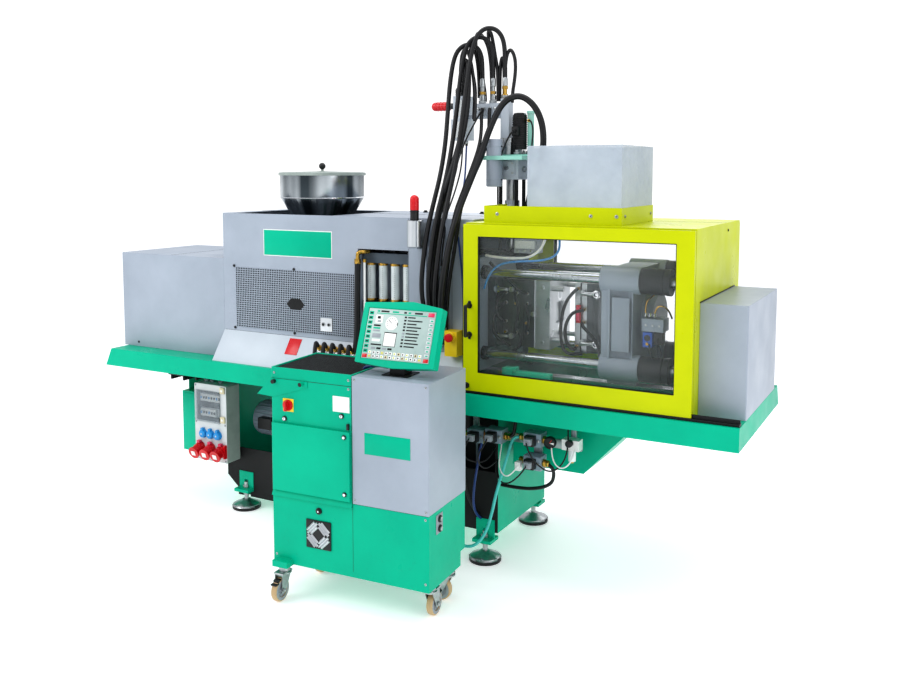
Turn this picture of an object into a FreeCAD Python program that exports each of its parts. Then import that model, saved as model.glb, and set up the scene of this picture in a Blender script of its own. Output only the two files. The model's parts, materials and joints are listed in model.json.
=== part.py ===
"""Injection moulding machine with a second, upright injection unit and a control cart.

Millimetres, +Z up, +X along the machine from the injection end to the clamp end.
The pieces are placed about the middle of the drip tray, on the floor. At the end they
are all moved so that the origin is the middle of the whole machine's footprint.
"""

import FreeCAD
import Part
import math
import os

V = FreeCAD.Vector
X_AXIS = V(1, 0, 0)
Y_AXIS = V(0, 1, 0)
Z_AXIS = V(0, 0, 1)

# Clearances
SEAT_GAP = 0.3            # between pieces that rest or run on each other
RUNNING = 0.05            # radial, between a shaft and its bore

# Drip tray, which carries the whole machine
TRAY_LENGTH = 3536.0
TRAY_WIDTH = 904.0
TRAY_TOP = 836.0
TRAY_DEPTH = 99.0
TRAY_FLARE = 46.0
TRAY_SHEET = 4.0
CHUTE_LENGTH = 540.0
CHUTE_WIDTH = 440.0
CHUTE_LEFT = 690.0

# Base frame and feet
BASE_LEFT = -1023.0
BASE_RIGHT = 640.0
BASE_WIDTH = 560.0
BASE_BOTTOM = 140.0
BASE_TOE = 62.0
BASE_SHEET = 8.0
FOOT_X = (-889.0, 576.0)
FOOT_Y = 284.0
FOOT_RADIUS = 77.0
FOOT_PAD = 18.0
FOOT_HEIGHT = 50.0

# Covers
COVER_SHEET = 3.0
COVER_FRONT = -327.0
REAR_COVER_LEFT = -1751.0
REAR_COVER_BACK = 280.0
REAR_COVER_TOP = 1375.0
HOUSING_LEFT = -980.0
HOUSING_RIGHT = 530.0
HOUSING_BACK = 330.0
HOUSING_TOP = 1619.0
APRON_TOP = 990.0
APRON_FRONT = -432.0
RECESS_LEFT = -109.0
RECESS_RIGHT = 181.0
RECESS_TOP = 1460.0
RECESS_DEPTH = 150.0
END_COVER_RIGHT = 1768.0
END_COVER_HALF = 324.0
END_COVER_TOP = 1304.0

# Hood, collar and splash guard
HOOD_LEFT = 533.0
HOOD_RIGHT = 1573.0
HOOD_FRONT = -402.0
HOOD_BACK = 420.0
HOOD_TOP = 1610.0
COLLAR_LEFT = 588.0
COLLAR_RIGHT = 1238.0
COLLAR_FRONT = -332.0
COLLAR_BACK = 122.0
COLLAR_HEIGHT = 75.0
COLLAR_TOP = HOOD_TOP + COLLAR_HEIGHT
GUARD_HEIGHT = 267.0
GUARD_TOP = COLLAR_TOP + GUARD_HEIGHT
GUARD_LEFT = 800.0

# Sliding gate
GATE_THICKNESS = 26.0
GATE_BOTTOM = 848.0
GATE_TOP = HOOD_TOP - 6.0
GATE_WINDOW = (607.0, 1501.0, 933.0, 1551.0)
PANE_THICKNESS = 5.0
RAIL_RIGHT = 1765.0

# Bed, platens and tie bars
RAIL_HEIGHT = 60.0
RAIL_WIDTH = 60.0
RAIL_OFFSET = 150.0
AXIS_Z = 1172.0
TIE_RADIUS = 22.0
TIE_Y = 200.0
TIE_Z = 193.0
PLATEN_HALF = 262.0
FIXED_PLATEN_LEFT = 400.0
FIXED_PLATEN_THICK = 120.0
MOULD_OPENING = 125.0
FIXED_MOULD_DEPTH = 310.0
MOVING_MOULD_DEPTH = 160.0
MOVING_PLATEN_THICK = 177.0
CLAMP_CYLINDER_LENGTH = 130.0
CLAMP_CYLINDER_RADIUS = 50.0
END_PLATE_LEFT = 1478.0
END_PLATE_THICK = 60.0

# Horizontal injection unit
FEED_X = -560.0
BARREL_RADIUS = 45.0
BARREL_BORE = 20.0
SCREW_SHANK = 98.0
SCREW_PITCH = 40.0
CARRIAGE_LEFT = -900.0
CARRIAGE_RIGHT = -350.0
CARRIAGE_TOP = 1290.0
HOPPER_RADIUS = 226.0
HOPPER_NECK = 50.0
HOPPER_SHEET = 3.0
HOPPER_CONE_BOTTOM = 1400.0
HOPPER_CONE_TOP = 1700.0
HOPPER_TOP = 1830.0

# Upright injection unit
UNIT_X = 575.0
UNIT_HALF = 58.0
UNIT_COLUMN_RADIUS = 9.0
UNIT_COLUMN_OFFSET = 42.0
UNIT_BLOCK_BOTTOM = 1800.0
UNIT_BLOCK_TOP = 1905.0
UNIT_PLATE = 14.0
UNIT_STROKE = 60.0
UNIT_MAST_TOP = 2190.0

# Control cart, which stands a little askew in front of the machine
CART_X = -70.5
CART_Y = -1045.6
CART_TURN = 3.2114
CART_WIDTH = 756.2
CART_BODY_WIDTH = 401.5
CART_DEPTH = 349.0
CART_BASE_DEPTH = 300.0
CART_BASE_BOTTOM = 151.0
CART_BASE_TOP = 468.0
CART_BODY_TOP = 1008.0
CART_SHEET = 3.0
CART_DOOR_TOP = 770.0
CART_DOOR_THICK = 13.8
CART_DOOR_HINGE_U = 13.0
FAN_U = 234.0
FAN_Z = 307.0
FAN_SIZE = 104.0
FAN_SLOTS = 9
WHEEL_RADIUS = 50.0
WHEEL_WIDTH = 28.0
AXLE_RADIUS = 5.0
CASTOR_TRAIL = 36.0
SCREEN_WIDTH = 366.0
SCREEN_HEIGHT = 262.0
SCREEN_DEPTH = 46.0
SCREEN_TILT = 21.0

# Hoses
HOSE = 22.0
FAT_HOSE = 30.0
COOLANT_HOSE = 14.0
HOSE_LEDGE_TOP = 1060.0
HOSE_END_Y = -356.0
HOSE_END_X = (300.0, 328.0, 356.0, 390.0)
FITTING_X = (412.0, 470.0, 534.0)
FITTING_TOP = 2250.0

# Each hose is its diameter and the points of its route
HOSE_ROUTES = {
    "hose_left": (HOSE, [
        (412, 0, 2250), (412, 0, 2335), (409, -8, 2415), (373, -18, 2457),
        (320, -34, 2455), (286, -56, 2405), (282, -92, 2285), (296, -140, 2140),
        (318, -204, 1975), (330, -276, 1820), (328, -340, 1690), (318, -384, 1560),
        (306, -402, 1420), (296, -402, 1290), (299, -374, 1178), (300, -356, 1100),
        (300, -356, 1060)]),
    "hose_middle": (HOSE, [
        (470, 0, 2250), (470, 0, 2345), (469, -8, 2440), (434, -20, 2487),
        (382, -36, 2488), (348, -58, 2440), (342, -96, 2310), (350, -146, 2150),
        (362, -212, 1985), (370, -282, 1830), (368, -344, 1700), (358, -388, 1570),
        (346, -404, 1430), (334, -406, 1300), (329, -376, 1178), (328, -356, 1100),
        (328, -356, 1060)]),
    "hose_right": (HOSE, [
        (534, 0, 2250), (534, 0, 2360), (532, -8, 2470), (496, -22, 2524),
        (440, -42, 2528), (404, -66, 2478), (392, -108, 2340), (396, -160, 2170),
        (406, -222, 2000), (412, -290, 1840), (410, -350, 1705), (400, -394, 1570),
        (388, -410, 1430), (374, -412, 1300), (359, -378, 1178), (356, -356, 1100),
        (356, -356, 1060)]),
    "hose_loop": (FAT_HOSE, [
        (672, -44, 1456), (672, -44, 1550), (676, -50, 1650), (698, -58, 1745),
        (738, -64, 1840), (768, -68, 1950), (764, -74, 2065), (722, -84, 2155),
        (650, -98, 2200), (576, -118, 2165), (528, -148, 2050), (504, -205, 1910),
        (486, -275, 1790), (470, -342, 1680), (452, -388, 1560), (432, -408, 1430),
        (412, -412, 1310), (396, -392, 1200), (390, -356, 1115), (390, -356, 1060)]),
    "coolant_hose": (COOLANT_HOSE, [
        (789, -340, 641), (764, -340, 641), (744, -352, 622), (738, -372, 574),
        (722, -402, 490), (708, -440, 396), (709, -492, 306), (698, -534, 232),
        (662, -560, 184), (612, -570, 176), (570, -580, 204), (546, -606, 239),
        (548, -649, 240)]),
}


# Controls
STOP_X = 446.0
STOP_Z = 1075.0
STOP_FRONT = COVER_FRONT - 62
SWITCH_U = 87.0
SWITCH_Z = 850.0
SOCKET_BOX = (-1144.0, -917.0, -400.0, -296.0, 269.0, 692.0)
WINDOW_THICK = 11.8
BLUE_SOCKET_X = (-1081.0, -1029.0, -977.0)
BLUE_SOCKET_Z = 418.0
RED_SOCKET_X = (-1103.0, -1027.0, -951.0)
RED_SOCKET_Z = 345.0
RED_SOCKET_LEAN = 20.0
CABINET = (-1431.0, -200.0, 160.0, 226.0, 574.0)

# Beacon, terminal box and valves
BEACON_X = 261.0
BEACON_Y = -400.0
BEACON_SHELF = 1488.0
BEACON_COLLAR = 1613.0
BEACON_LENS = 1660.0
LAMP_Z = 2163.0
LAMP_RADIUS = 22.0
VALVE_Y = -BASE_WIDTH / 2 - 60
VALVE_PLACES = ((566.0, 620.0), (658.0, 632.0), (851.0, 641.0), (851.0, 535.0))

# Levels and planes that follow from the sizes above
BED_TOP = TRAY_TOP + RAIL_HEIGHT
TRAY_UNDERSIDE = TRAY_TOP - TRAY_SHEET
TIE_PLACES = [(y, AXIS_Z + dz) for y in (-TIE_Y, TIE_Y) for dz in (-TIE_Z, TIE_Z)]
FIXED_FACE = FIXED_PLATEN_LEFT + FIXED_PLATEN_THICK
MOULD_FACE = FIXED_FACE + FIXED_MOULD_DEPTH
MOVING_FACE = MOULD_FACE + MOULD_OPENING
PLATEN_LEFT = MOVING_FACE + MOVING_MOULD_DEPTH
PLATEN_RIGHT = PLATEN_LEFT + MOVING_PLATEN_THICK
PLATEN_TOP = AXIS_Z + PLATEN_HALF
GATE_FRONT = HOOD_FRONT - 4 - GATE_THICKNESS
RAIL_LIP = 6.0
RAIL_LIP_Y = GATE_FRONT + 11
SCREW_TIP = FIXED_PLATEN_LEFT - 60
UNIT_CORNERS = [(UNIT_X + sx * UNIT_COLUMN_OFFSET, sy * UNIT_COLUMN_OFFSET)
                for sx in (-1, 1) for sy in (-1, 1)]
UNIT_PLATE_BOTTOM = UNIT_BLOCK_TOP + 1
UNIT_PLATE_TOP = UNIT_PLATE_BOTTOM + UNIT_PLATE
CASTOR_TOP = CART_BASE_BOTTOM - 5
CASTOR_PLACES = {
    "front_left": (58.0, -4.0, 180.0),
    "front_right": (CART_WIDTH - 44, 96.0, 0.0),
    "back_left": (58.0, CART_BASE_DEPTH - 50, 0.0),
    "back_right": (CART_WIDTH - 44, CART_BASE_DEPTH - 30, 90.0),
}

# The screen leans back about a pin near its lower edge
SCREEN_U = (CART_BODY_WIDTH + CART_WIDTH) / 2 - 14
SCREEN_V = 96.0
SCREEN_PIVOT_Z = 1062.0


def box(x0, x1, y0, y1, z0, z1):
    return Part.makeBox(x1 - x0, y1 - y0, z1 - z0, V(x0, y0, z0))


def rod(start, axis, length, radius):
    return Part.makeCylinder(radius, length, start, axis)


def tube(start, axis, length, outer, inner):
    return rod(start, axis, length, outer).cut(rod(start, axis, length, inner))


def prism(points, direction):
    """Pushes a flat polygon along a direction."""
    wire = Part.makePolygon(points + points[:1])
    return Part.Face(wire).extrude(direction)


def turned(centre, profile):
    """Turns a profile of (radius, height) about the upright axis through centre."""
    points = [V(centre[0] + r, centre[1], z) for r, z in profile]
    face = Part.Face(Part.makePolygon(points + points[:1]))
    return face.revolve(V(centre[0], centre[1], 0), Z_AXIS, 360)


def frustum(low, z0, high, z1):
    """A solid between two level rectangles, each given as x0, x1, y0, y1."""
    wires = []
    for (x0, x1, y0, y1), z in ((low, z0), (high, z1)):
        corners = [V(x0, y0, z), V(x1, y0, z), V(x1, y1, z), V(x0, y1, z)]
        wires.append(Part.makePolygon(corners + corners[:1]))
    return Part.makeLoft(wires, True, True)


def fuse(shapes):
    return shapes[0].multiFuse(shapes[1:]).removeSplitter()


def group(shapes):
    return Part.makeCompound(shapes)


def rounded(shape, radius, chosen):
    """Fillets the edges for which chosen(edge) holds."""
    return shape.makeFillet(radius, [e for e in shape.Edges if chosen(e)])


def upright(edge):
    return abs(edge.tangentAt(edge.FirstParameter).z) > 0.99


def along_x(edge):
    return abs(edge.tangentAt(edge.FirstParameter).x) > 0.99


# ---------------------------------------------------------------- tray, base and feet
def drip_tray():
    half_l, half_w = TRAY_LENGTH / 2, TRAY_WIDTH / 2
    low = TRAY_TOP - TRAY_DEPTH
    s = TRAY_SHEET
    outer = frustum((-half_l, half_l, -half_w, half_w), low,
                    (-half_l + TRAY_FLARE, half_l, -half_w, half_w - TRAY_FLARE), TRAY_TOP)
    inner = frustum((-half_l + s, half_l - s, -half_w + s, half_w - s), low,
                    (-half_l + TRAY_FLARE + s, half_l - s, -half_w + s, half_w - TRAY_FLARE - s),
                    TRAY_TOP - s)
    opening = box(CHUTE_LEFT, CHUTE_LEFT + CHUTE_LENGTH, -CHUTE_WIDTH / 2, CHUTE_WIDTH / 2,
                  TRAY_TOP - 3 * s, TRAY_TOP + s)
    return outer.cut(inner).cut(opening)


def chute_outline(wall):
    """The chute's side view: it narrows down towards the injection end."""
    right = CHUTE_LEFT + CHUTE_LENGTH
    top = TRAY_UNDERSIDE
    y = -CHUTE_WIDTH / 2 + wall
    points = [V(CHUTE_LEFT + wall, y, top), V(right - wall, y, top),
              V(right - wall, y, top - 160), V(CHUTE_LEFT + 350 - wall, y, top - 360),
              V(CHUTE_LEFT + wall, y, top - 360)]
    return prism(points, V(0, CHUTE_WIDTH - 2 * wall, 0))


def parts_chute():
    return chute_outline(0).cut(chute_outline(BASE_SHEET / 2))


def base_outline(inset):
    """The base's side view, with a chamfered toe at the injection end."""
    y = -BASE_WIDTH / 2 + inset
    top = TRAY_UNDERSIDE - inset
    left, right, low = BASE_LEFT + inset, BASE_RIGHT - inset, BASE_BOTTOM + inset
    toe, toe_low = left + 74, BASE_TOE + inset
    points = [V(left, y, top), V(left, y, low + 25), V(toe, y, low - 38), V(toe, y, toe_low),
              V(toe + 349 - 2 * inset, y, toe_low), V(toe + 449 - 2 * inset, y, low),
              V(right, y, low), V(right, y, top)]
    return prism(points, V(0, BASE_WIDTH - 2 * inset, 0))


def base_frame():
    """A welded box with open bays, an ear over each foot and a cabinet on its left."""
    y0, y1 = -BASE_WIDTH / 2, BASE_WIDTH / 2
    top = TRAY_UNDERSIDE
    s = BASE_SHEET
    left, right = BASE_LEFT, BASE_RIGHT
    shell = base_outline(0).cut(base_outline(s))
    left_bay = box(left + 80, left + 420, y0 - s, y0 + 2 * s, 330, top - 2 * s)
    right_bay = box(right - 420, right - 2 * s, y0 - s, y0 + 2 * s, 430, top - 2 * s)
    rear_bay = box(left + 80, right - 80, y1 - 2 * s, y1 + s, 330, top - 2 * s)
    end_bay = box(right - 2 * s, right + s, -110, 200, 430, top - 2 * s)
    shell = shell.cut(left_bay).cut(right_bay).cut(rear_bay).cut(end_bay)
    ear_low = FOOT_HEIGHT + 46
    feet = [(x, side * FOOT_Y) for x in FOOT_X for side in (-1, 1)]
    for x, y in feet:
        shell = shell.cut(rod(V(x, y, BASE_TOE - 1), Z_AXIS, ear_low - BASE_TOE + 1, 26))
    ears = [box(x - 48, x + 48, y - 44, y + 44, ear_low, ear_low + 16) for x, y in feet]
    webs = [box(x - 48, x + 48, math.copysign(y0, y) - 4, math.copysign(y0, y) + 4,
                ear_low + 16, BASE_BOTTOM + 60) for x, y in feet]
    shell = fuse([shell] + ears + webs)
    for x, y in feet:
        shell = shell.cut(rod(V(x, y, ear_low - 1), Z_AXIS, 60, 12 + SEAT_GAP))
    x, front, back, low, high = CABINET
    cabinet = box(x, left, front, back, low, high)
    cabinet = cabinet.cut(box(x + 3, left - 3, front + 3, back - 3, low + 3, high - 3))
    hanger = box(x + 31, x + 35, front + 20, back - 20, high, top)
    return fuse([shell, cabinet, hanger])


def levelling_feet():
    feet = []
    for x in FOOT_X:
        for side in (-1, 1):
            at = (x, side * FOOT_Y)
            pad = turned(at, [(0, 0), (FOOT_RADIUS - 3, 0), (FOOT_RADIUS, 3),
                              (FOOT_RADIUS, FOOT_PAD), (0, FOOT_PAD)])
            dome = turned(at, [(0, FOOT_PAD), (FOOT_RADIUS - 2, FOOT_PAD),
                               (FOOT_RADIUS - 4, FOOT_PAD + 8), (30, FOOT_HEIGHT - 6),
                               (22, FOOT_HEIGHT), (12, FOOT_HEIGHT), (12, FOOT_HEIGHT + 95),
                               (0, FOOT_HEIGHT + 95)])
            nut = tube(V(at[0], at[1], FOOT_HEIGHT + 46 - SEAT_GAP - 15), Z_AXIS, 15, 19, 12)
            feet += [pad, fuse([dome, nut])]
    return group(feet)


def bed_rails():
    rails = []
    for side in (-1, 1):
        y = side * RAIL_OFFSET
        rail = box(-930, 1540, y - RAIL_WIDTH / 2, y + RAIL_WIDTH / 2,
                   TRAY_TOP, TRAY_TOP + RAIL_HEIGHT)
        rails.append(rail)
    return group(rails)


# ---------------------------------------------------------------- covers
def rear_cover():
    s = COVER_SHEET
    outer = box(REAR_COVER_LEFT, HOUSING_LEFT - SEAT_GAP, COVER_FRONT, REAR_COVER_BACK,
                TRAY_TOP, REAR_COVER_TOP)
    outer = rounded(outer, 6, lambda e: upright(e) and e.BoundBox.XMax < HOUSING_LEFT - 50)
    inner = box(REAR_COVER_LEFT + s, HOUSING_LEFT, COVER_FRONT + s, REAR_COVER_BACK - s,
                TRAY_TOP, REAR_COVER_TOP - s)
    return outer.cut(inner)


def unit_well():
    """The room that the upright unit needs through the housing, the hood and the collar."""
    half = UNIT_HALF + 32
    return box(UNIT_X - half, UNIT_X + half, -half, half, PLATEN_TOP, COLLAR_TOP + 1)


def machine_housing():
    """Back, end walls and top plates; the top is open round the hopper."""
    s = COVER_SHEET
    front = COVER_FRONT + COVER_SHEET
    outer = box(HOUSING_LEFT, HOUSING_RIGHT, front, HOUSING_BACK, TRAY_TOP, HOUSING_TOP)
    inner = box(HOUSING_LEFT + s, HOUSING_RIGHT - s, front - s, HOUSING_BACK - s,
                TRAY_TOP, HOUSING_TOP - s)
    hopper_well = box(FEED_X - 350, FEED_X + 290, front - s, HOUSING_BACK - 60,
                      HOUSING_TOP - 2 * s, HOUSING_TOP + s)
    passage = box(HOUSING_RIGHT - 2 * s, HOUSING_RIGHT + s, -300, 300, TRAY_TOP, 1560)
    left_passage = box(HOUSING_LEFT - s, HOUSING_LEFT + 2 * s, -280, 240, TRAY_TOP, 1330)
    shell = outer.cut(inner).cut(hopper_well).cut(passage).cut(left_passage)
    return shell.cut(unit_well())


def front_panel():
    """One folded sheet: upright panel and sloping apron, with a recess for the regulator.

    The stop button's enclosure and the ledge where the hoses plug in are bolted to it.
    """
    s = COVER_SHEET
    front = COVER_FRONT
    length = V(HOUSING_RIGHT - HOUSING_LEFT, 0, 0)
    x = HOUSING_LEFT
    sheet = prism([V(x, front, HOUSING_TOP), V(x, front, APRON_TOP), V(x, APRON_FRONT, TRAY_TOP),
                   V(x, APRON_FRONT + 5, TRAY_TOP), V(x, front + s, APRON_TOP + 1),
                   V(x, front + s, HOUSING_TOP)], length)
    hole = box(RECESS_LEFT, RECESS_RIGHT, front - s, front + 2 * s, APRON_TOP + 8, RECESS_TOP)
    pan = box(RECESS_LEFT - 2, RECESS_RIGHT + 2, front + s, front + RECESS_DEPTH,
              APRON_TOP + 6, RECESS_TOP + 2)
    pan = pan.cut(box(RECESS_LEFT, RECESS_RIGHT, front, front + RECESS_DEPTH - 2,
                      APRON_TOP + 8, RECESS_TOP))
    enclosure = box(STOP_X - 32, STOP_X + 32, STOP_FRONT, front, STOP_Z - 90, STOP_Z + 28)
    enclosure = enclosure.cut(rod(V(STOP_X, STOP_FRONT - 1, STOP_Z), Y_AXIS, 30, 8 + SEAT_GAP))
    ledge = box(HOSE_END_X[0] - 22, STOP_X - 32, HOSE_END_Y - 19, front,
                HOSE_LEDGE_TOP - 26, HOSE_LEDGE_TOP)
    return fuse([sheet.cut(hole), pan, enclosure, ledge])


def stop_button():
    stem = rod(V(STOP_X, STOP_FRONT - 14, STOP_Z), Y_AXIS, 36, 8)
    cap = rod(V(STOP_X, STOP_FRONT - 28, STOP_Z), Y_AXIS, 14, 20)
    return rounded(fuse([stem, cap]), 5, lambda e: e.BoundBox.YMax < STOP_FRONT - 27)


def end_cover():
    s = COVER_SHEET
    half = END_COVER_HALF
    outer = box(HOOD_RIGHT + SEAT_GAP, END_COVER_RIGHT, -half, half, TRAY_TOP, END_COVER_TOP)
    outer = rounded(outer, 6, lambda e: upright(e) and e.BoundBox.XMin > HOOD_RIGHT + 50)
    inner = box(HOOD_RIGHT, END_COVER_RIGHT - s, -half + s, half - s, TRAY_TOP,
                END_COVER_TOP - s)
    return outer.cut(inner)


def hood():
    s = COVER_SHEET
    left, right, front, back, top = HOOD_LEFT, HOOD_RIGHT, HOOD_FRONT, HOOD_BACK, HOOD_TOP
    outer = box(left, right, front, back, TRAY_TOP, top)
    outer = rounded(outer, 18, lambda e: along_x(e) and e.BoundBox.ZMin > top - 1
                    and e.BoundBox.YMin > 0)
    inner = box(left + s, right - s, front - s, back - s, TRAY_TOP, top - s)
    shell = outer.cut(inner)
    front_flange = box(left + s, right - s, front, front + s, GATE_WINDOW[3] + 12, top - s)
    posts = [box(x, x + 34, front, front + 30, TRAY_TOP, top - s)
             for x in (left + s, right - s - 34)]
    left_opening = box(left - s, left + 2 * s, -300, 300, TRAY_TOP, 1560)
    right_opening = box(right - 2 * s, right + s, -280, 280, TRAY_TOP, END_COVER_TOP - 14)
    rear_window = box(left + 90, right - 83, back - 2 * s, back + s, GATE_WINDOW[2] + 12,
                      GATE_WINDOW[3] - 6)
    top_opening = box(COLLAR_LEFT + s, COLLAR_RIGHT - s, COLLAR_FRONT + s, COLLAR_BACK - s,
                      top - 2 * s, top + s)
    shell = fuse([shell, front_flange] + posts)
    shell = shell.cut(left_opening).cut(right_opening).cut(rear_window)
    return shell.cut(top_opening).cut(unit_well())


def hood_collar():
    s = COVER_SHEET
    outer = box(COLLAR_LEFT, COLLAR_RIGHT, COLLAR_FRONT, COLLAR_BACK, HOOD_TOP, COLLAR_TOP)
    inner = box(COLLAR_LEFT + s, COLLAR_RIGHT - s, COLLAR_FRONT + s, COLLAR_BACK - s,
                HOOD_TOP, COLLAR_TOP)
    return outer.cut(inner).cut(unit_well())


def splash_guard():
    """Front, right and rear sheets standing inside the collar, open towards the unit."""
    s = 2.0
    inset = COVER_SHEET + SEAT_GAP
    x1, y0, y1 = COLLAR_RIGHT - inset, COLLAR_FRONT + inset, COLLAR_BACK - inset
    bottom = HOOD_TOP - COVER_SHEET
    front = box(GUARD_LEFT, x1, y0, y0 + s, bottom, GUARD_TOP)
    right = box(x1 - s, x1, y0, y1, bottom, GUARD_TOP)
    rear = box(COLLAR_LEFT + 20, x1, y1 - s, y1, bottom, GUARD_TOP)
    hem_front = box(GUARD_LEFT, x1, y0, y0 + 16, GUARD_TOP - s, GUARD_TOP)
    hem_right = box(x1 - 16, x1, y0, y1, GUARD_TOP - s, GUARD_TOP)
    hem_rear = box(COLLAR_LEFT + 20, x1, y1 - 16, y1, GUARD_TOP - s, GUARD_TOP)
    return fuse([front, right, rear, hem_front, hem_right, hem_rear])


# ---------------------------------------------------------------- sliding gate
def gate_rail():
    foot = box(HOOD_LEFT + 8, RAIL_RIGHT, GATE_FRONT - 4, GATE_FRONT + GATE_THICKNESS + 4,
               TRAY_TOP, GATE_BOTTOM - SEAT_GAP)
    lip = box(HOOD_LEFT + 8, RAIL_RIGHT, RAIL_LIP_Y, RAIL_LIP_Y + RAIL_LIP,
              TRAY_TOP, GATE_BOTTOM + 14)
    return fuse([foot, lip])


def gate_frame():
    """A folded frame, open at the back, with a slot below for the rail's lip."""
    s = 2.5
    x0, x1, z0, z1 = GATE_WINDOW
    y0, y1 = GATE_FRONT, GATE_FRONT + GATE_THICKNESS
    outer = box(HOOD_LEFT, HOOD_RIGHT, y0, y1, GATE_BOTTOM, GATE_TOP)
    outer = rounded(outer, 5, upright)
    window = box(x0, x1, y0 - s, y1 + s, z0, z1)
    window = rounded(window, 4, lambda e: abs(e.tangentAt(e.FirstParameter).y) > 0.99)
    channel = box(HOOD_LEFT + s, HOOD_RIGHT - s, y0 + s, y1 + s, GATE_BOTTOM + s, GATE_TOP - s)
    inner_return = box(x0 - s, x1 + s, y0, y1 - PANE_THICKNESS - 2, z0 - s, z1 + s)
    slot = box(HOOD_LEFT - s, HOOD_RIGHT + s, RAIL_LIP_Y - 2, RAIL_LIP_Y + RAIL_LIP + 2,
               GATE_BOTTOM - s, GATE_BOTTOM + 18)
    return outer.cut(channel.cut(inner_return)).cut(window).cut(slot)


def gate_pane():
    x0, x1, z0, z1 = GATE_WINDOW
    y1 = GATE_FRONT + GATE_THICKNESS - 2
    return box(x0 - 14, x1 + 14, y1 - PANE_THICKNESS, y1, z0 - 14, z1 + 14)


def gate_handle():
    x, z, reach, half, r = HOOD_LEFT + 34, 1172.0, 40.0, 66.0, 8.0
    y = GATE_FRONT - SEAT_GAP
    bar = rod(V(x, y - reach, z - half), Z_AXIS, 2 * half, r)
    legs = [rod(V(x, y - reach, z + side * half), Y_AXIS, reach, r) for side in (-1, 1)]
    knuckles = [Part.makeSphere(r, V(x, y - reach, z + side * half)) for side in (-1, 1)]
    return fuse([bar] + legs + knuckles)


# ---------------------------------------------------------------- clamp unit
def tie_bores(x0, x1, radius):
    return [rod(V(x0 - 1, y, z), X_AXIS, x1 - x0 + 2, radius) for y, z in TIE_PLACES]


def fixed_platen():
    x0, x1 = FIXED_PLATEN_LEFT, FIXED_FACE
    plate = box(x0, x1, -PLATEN_HALF, PLATEN_HALF, BED_TOP, PLATEN_TOP)
    plate = rounded(plate, 30, along_x)
    nozzle_bore = rod(V(x0 - 1, 0, AXIS_Z), X_AXIS, x1 - x0 + 2, BARREL_RADIUS + 20)
    return plate.cut(nozzle_bore).cut(fuse(tie_bores(x0, x1, TIE_RADIUS + SEAT_GAP)))


def tie_bars():
    left = FIXED_PLATEN_LEFT - 34
    right = END_PLATE_LEFT + END_PLATE_THICK + 28
    bars = []
    for y, z in TIE_PLACES:
        bar = rod(V(left, y, z), X_AXIS, right - left, TIE_RADIUS)
        head = rod(V(left + 4, y, z), X_AXIS, 30 - SEAT_GAP, 36)
        nut = rod(V(right - 28 + SEAT_GAP, y, z), X_AXIS, 24, 36)
        bars.append(fuse([bar, head, nut]))
    return group(bars)


def end_plate():
    x0, x1 = END_PLATE_LEFT, END_PLATE_LEFT + END_PLATE_THICK
    plate = box(x0, x1, -PLATEN_HALF, PLATEN_HALF, BED_TOP, PLATEN_TOP)
    plate = rounded(plate, 30, along_x)
    centre = box(x0 - 1, x1 + 1, -110, 110, AXIS_Z - 110, AXIS_Z + 110)
    return plate.cut(centre).cut(fuse(tie_bores(x0, x1, TIE_RADIUS + SEAT_GAP)))


def mould_half_fixed():
    x = FIXED_FACE
    back = box(x, x + 40, -150, 150, AXIS_Z - 172, AXIS_Z + 172)
    cavity_block = box(x + 40, MOULD_FACE - 75, -135, 135, AXIS_Z - 160, AXIS_Z + 160)
    face_plate = box(MOULD_FACE - 75, MOULD_FACE, -128, 128, AXIS_Z - 165, AXIS_Z + 158)
    cavity = box(MOULD_FACE - 18, MOULD_FACE + 1, -50, 50, AXIS_Z - 50, AXIS_Z + 50)
    pins = [rod(V(MOULD_FACE, y, AXIS_Z + z), X_AXIS, 55, 11) for y in (-95, 95)
            for z in (-120, 120)]
    return fuse([back, cavity_block, face_plate.cut(cavity)] + pins)


def mould_half_moving():
    x = MOVING_FACE
    face_plate = box(x, x + 60, -128, 128, AXIS_Z - 165, AXIS_Z + 158)
    block = box(x + 60, x + 120, -135, 135, AXIS_Z - 160, AXIS_Z + 160)
    back = box(x + 120, PLATEN_LEFT, -150, 150, AXIS_Z - 172, AXIS_Z + 172)
    core = box(x - 16, x, -46, 46, AXIS_Z - 46, AXIS_Z + 46)
    half = fuse([face_plate, block, back, core])
    for y in (-95, 95):
        for z in (-120, 120):
            half = half.cut(rod(V(x - 1, y, AXIS_Z + z), X_AXIS, 58, 12))
    return half


def moving_platen():
    """A casting with a hub at each tie bar and a waist between the hubs."""
    x0, x1 = PLATEN_LEFT, PLATEN_RIGHT
    hubs = [rod(V(x0, y, z), X_AXIS, x1 - x0, 60) for y, z in TIE_PLACES]
    web = box(x0 + 14, x1 - 30, -235, 235, AXIS_Z - 240, AXIS_Z + 240)
    mould_face = box(x0, x0 + 14, -165, 165, AXIS_Z - 200, AXIS_Z + 200)
    spine = rod(V(x1 - 30, 0, AXIS_Z), X_AXIS, 55, 120)
    waists = [rod(V(x0 + 96, side * 270, AXIS_Z), Z_AXIS, 150, 60) for side in (-1, 1)]
    waists += [rod(V(x0 + 96, side * 270, AXIS_Z - 150), Z_AXIS, 150, 60) for side in (-1, 1)]
    shoes = [box(x0 + 14, x1 - 30, side * RAIL_OFFSET - 24, side * RAIL_OFFSET + 24,
                 BED_TOP + SEAT_GAP, AXIS_Z - 230) for side in (-1, 1)]
    body = fuse(hubs + [web, mould_face, spine] + shoes).cut(fuse(waists))
    return body.cut(fuse(tie_bores(x0, x1 + 60, TIE_RADIUS + RUNNING)))


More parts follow.
